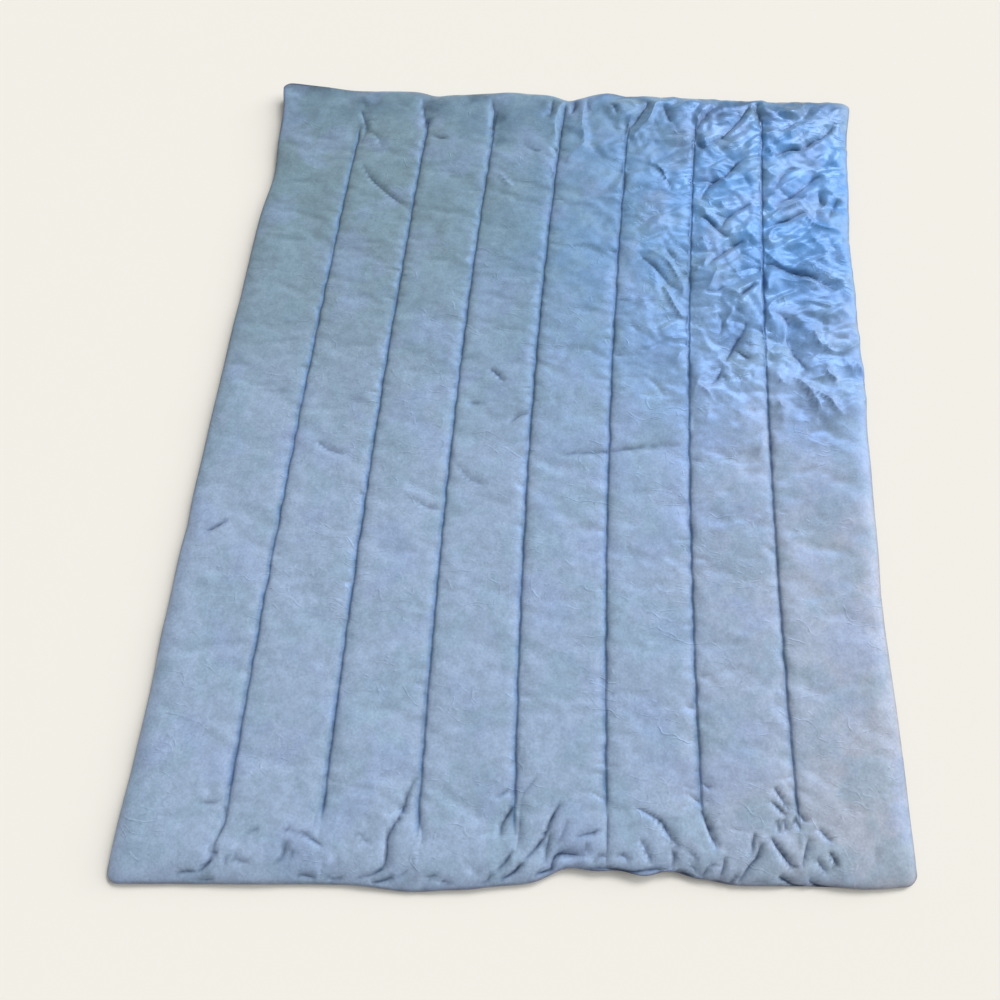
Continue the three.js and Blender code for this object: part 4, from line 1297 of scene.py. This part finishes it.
def spun_polyester():
    """Spun polyester sewing thread, dyed darker than the cloth: two plies twisted every 2 mm."""
    material, tree = new_material("spun_polyester")
    place = add(tree, "TexCoord").outputs["Object"]
    plies = add(tree, "TexWave", {"Vector": place, "Scale": per_metre(2) / 3, "Distortion": 1.0},
                bands_direction="DIAGONAL").outputs["Fac"]
    dyed = add(tree, "Mix", {0: plies, 6: colours().thread, 7: linear("45648A")}, data_type="RGBA").outputs[2]
    twist = add(tree, "Bump", {"Strength": 0.4, "Distance": 0.1 * MM, "Height": plies})
    surface = add(tree, "BsdfPrincipled", {
        "Base Color": dyed, "Roughness": 0.55, "Sheen Weight": 0.2, "Normal": twist.outputs[0],
    })
    add(tree, "OutputMaterial", {"Surface": surface.outputs[0]})
    return material


def matt_floor():
    """Matt painted floor, without pattern."""
    material, tree = new_material("matt_floor")
    surface = add(tree, "BsdfPrincipled", {
        "Base Color": colours().floor, "Roughness": 0.9, "Specular IOR Level": 0.1,
    })
    add(tree, "OutputMaterial", {"Surface": surface.outputs[0]})
    return material


# The stage

# The camera, in the plan frame: its place in metres, and its turn in radians
CAMERA_AT = (-0.0055, -0.7288, 1.4581)
CAMERA_DIP, CAMERA_HEADING, CAMERA_ROLL = 1.23876, -0.12167, -0.04136
FOCAL_LENGTH = 24.48

# Distant softboxes: their height over the floor, their turn from the x axis, and how wide they look, in degrees
SOFTBOXES = [
    ("side_softbox", 27, 25, 45),
    ("head_softbox", 41, 62, 20),
]


def camera_turn():
    """Matrix whose columns are the camera's right, its up, and backwards."""
    heading, dip = CAMERA_HEADING, CAMERA_DIP
    forward = Vector((math.sin(heading) * math.cos(dip), math.cos(heading) * math.cos(dip), -math.sin(dip)))
    level = Vector((math.cos(heading), -math.sin(heading), 0))
    over = level.cross(forward)
    right = math.cos(CAMERA_ROLL) * level + math.sin(CAMERA_ROLL) * over
    above = math.cos(CAMERA_ROLL) * over - math.sin(CAMERA_ROLL) * level
    return Matrix((right, above, -forward)).transposed().to_4x4()


def make_stage():
    """Floor, lights, world and camera."""
    scene = bpy.context.scene
    half = 15
    corners = np.array([(-half, -half), (half, -half), (half, half), (-half, half)])
    floor = new_mesh("floor", np.column_stack([corners, np.full(4, -0.3 * MM)]), [np.arange(4)[None]])
    floor.data.materials.append(matt_floor())

    light = scene.comforter_light
    for (name, *turns), strength in zip(SOFTBOXES, (light.side, light.head)):
        height, bearing, spread = (math.radians(turn) for turn in turns)
        softbox = bpy.data.lights.new(name, "SUN")
        softbox.energy = strength
        softbox.angle = spread
        lamp = bpy.data.objects.new(name, softbox)
        lamp.rotation_euler = (0, math.pi / 2 - height, bearing)
        scene.collection.objects.link(lamp)
    scene.world = bpy.data.worlds.new("pale_room")
    scene.world.use_nodes = True
    background = scene.world.node_tree.nodes["Background"]
    background.inputs["Color"].default_value = linear("FFFFFF")
    background.inputs["Strength"].default_value = light.room
    scene.view_settings.view_transform = "Standard"

    camera = bpy.data.objects.new("camera", bpy.data.cameras.new("camera"))
    camera.data.lens = FOCAL_LENGTH
    camera.data.sensor_width = 36
    centre = Vector(fine_grid()[-1])
    camera.matrix_world = Matrix.Translation(Vector(CAMERA_AT) - centre) @ camera_turn()
    scene.collection.objects.link(camera)
    scene.camera = camera


class ComforterLight(bpy.types.PropertyGroup):
    """How strong the lights are."""

    side: bpy.props.FloatProperty(
        name="Side Softbox", description="Strength of the softbox on the right", default=2.15, min=0,
    )
    head: bpy.props.FloatProperty(
        name="Head Softbox", description="Strength of the softbox past the head end", default=1.65, min=0,
    )
    room: bpy.props.FloatProperty(
        name="Room", description="Strength of the even light from the pale room", default=0.33, min=0,
        subtype="FACTOR",
    )


# Operators and panel


class COMFORTER_OT_shell(bpy.types.Operator):
    """Make the quilted shell: top panel, rim and back panel, filled and settled"""

    bl_idname = "comforter.shell"
    bl_label = "Quilted Shell"

    def execute(self, context):
        make_shell()
        return {"FINISHED"}


class COMFORTER_OT_stitches(bpy.types.Operator):
    """Lay the stitches along the channel seams of both panels"""

    bl_idname = "comforter.stitches"
    bl_label = "Channel Stitches"

    def execute(self, context):
        make_stitches()
        return {"FINISHED"}


class COMFORTER_OT_stage(bpy.types.Operator):
    """Add the pale floor, the studio light and the camera"""

    bl_idname = "comforter.stage"
    bl_label = "Stage"

    def execute(self, context):
        make_stage()
        return {"FINISHED"}


OPERATORS = (COMFORTER_OT_shell, COMFORTER_OT_stitches, COMFORTER_OT_stage)


class COMFORTER_PT_panel(bpy.types.Panel):
    """Sizes, colours and light, and the pieces in the order in which they are made"""

    bl_idname = "COMFORTER_PT_panel"
    bl_label = "Quilted Comforter"
    bl_space_type = "VIEW_3D"
    bl_region_type = "UI"
    bl_category = "Comforter"

    def draw(self, context):
        for group in (context.scene.comforter_sizes, context.scene.comforter_colours, context.scene.comforter_light):
            for name in group.__annotations__:
                self.layout.prop(group, name)
        for operator in OPERATORS:
            self.layout.operator(operator.bl_idname)


GROUPS = {
    "comforter_sizes": ComforterSizes,
    "comforter_colours": ComforterColours,
    "comforter_light": ComforterLight,
}


def register():
    for each in (*GROUPS.values(), *OPERATORS, COMFORTER_PT_panel):
        bpy.utils.register_class(each)
    for name, group in GROUPS.items():
        setattr(bpy.types.Scene, name, bpy.props.PointerProperty(type=group))


def unregister():
    for name in GROUPS:
        delattr(bpy.types.Scene, name)
    for each in (COMFORTER_PT_panel, *reversed(OPERATORS), *reversed(GROUPS.values())):
        bpy.utils.unregister_class(each)


def main():
    register()
    bpy.ops.comforter.shell()
    bpy.ops.comforter.stitches()
    bpy.ops.comforter.stage()


if __name__ == "__main__":
    main()
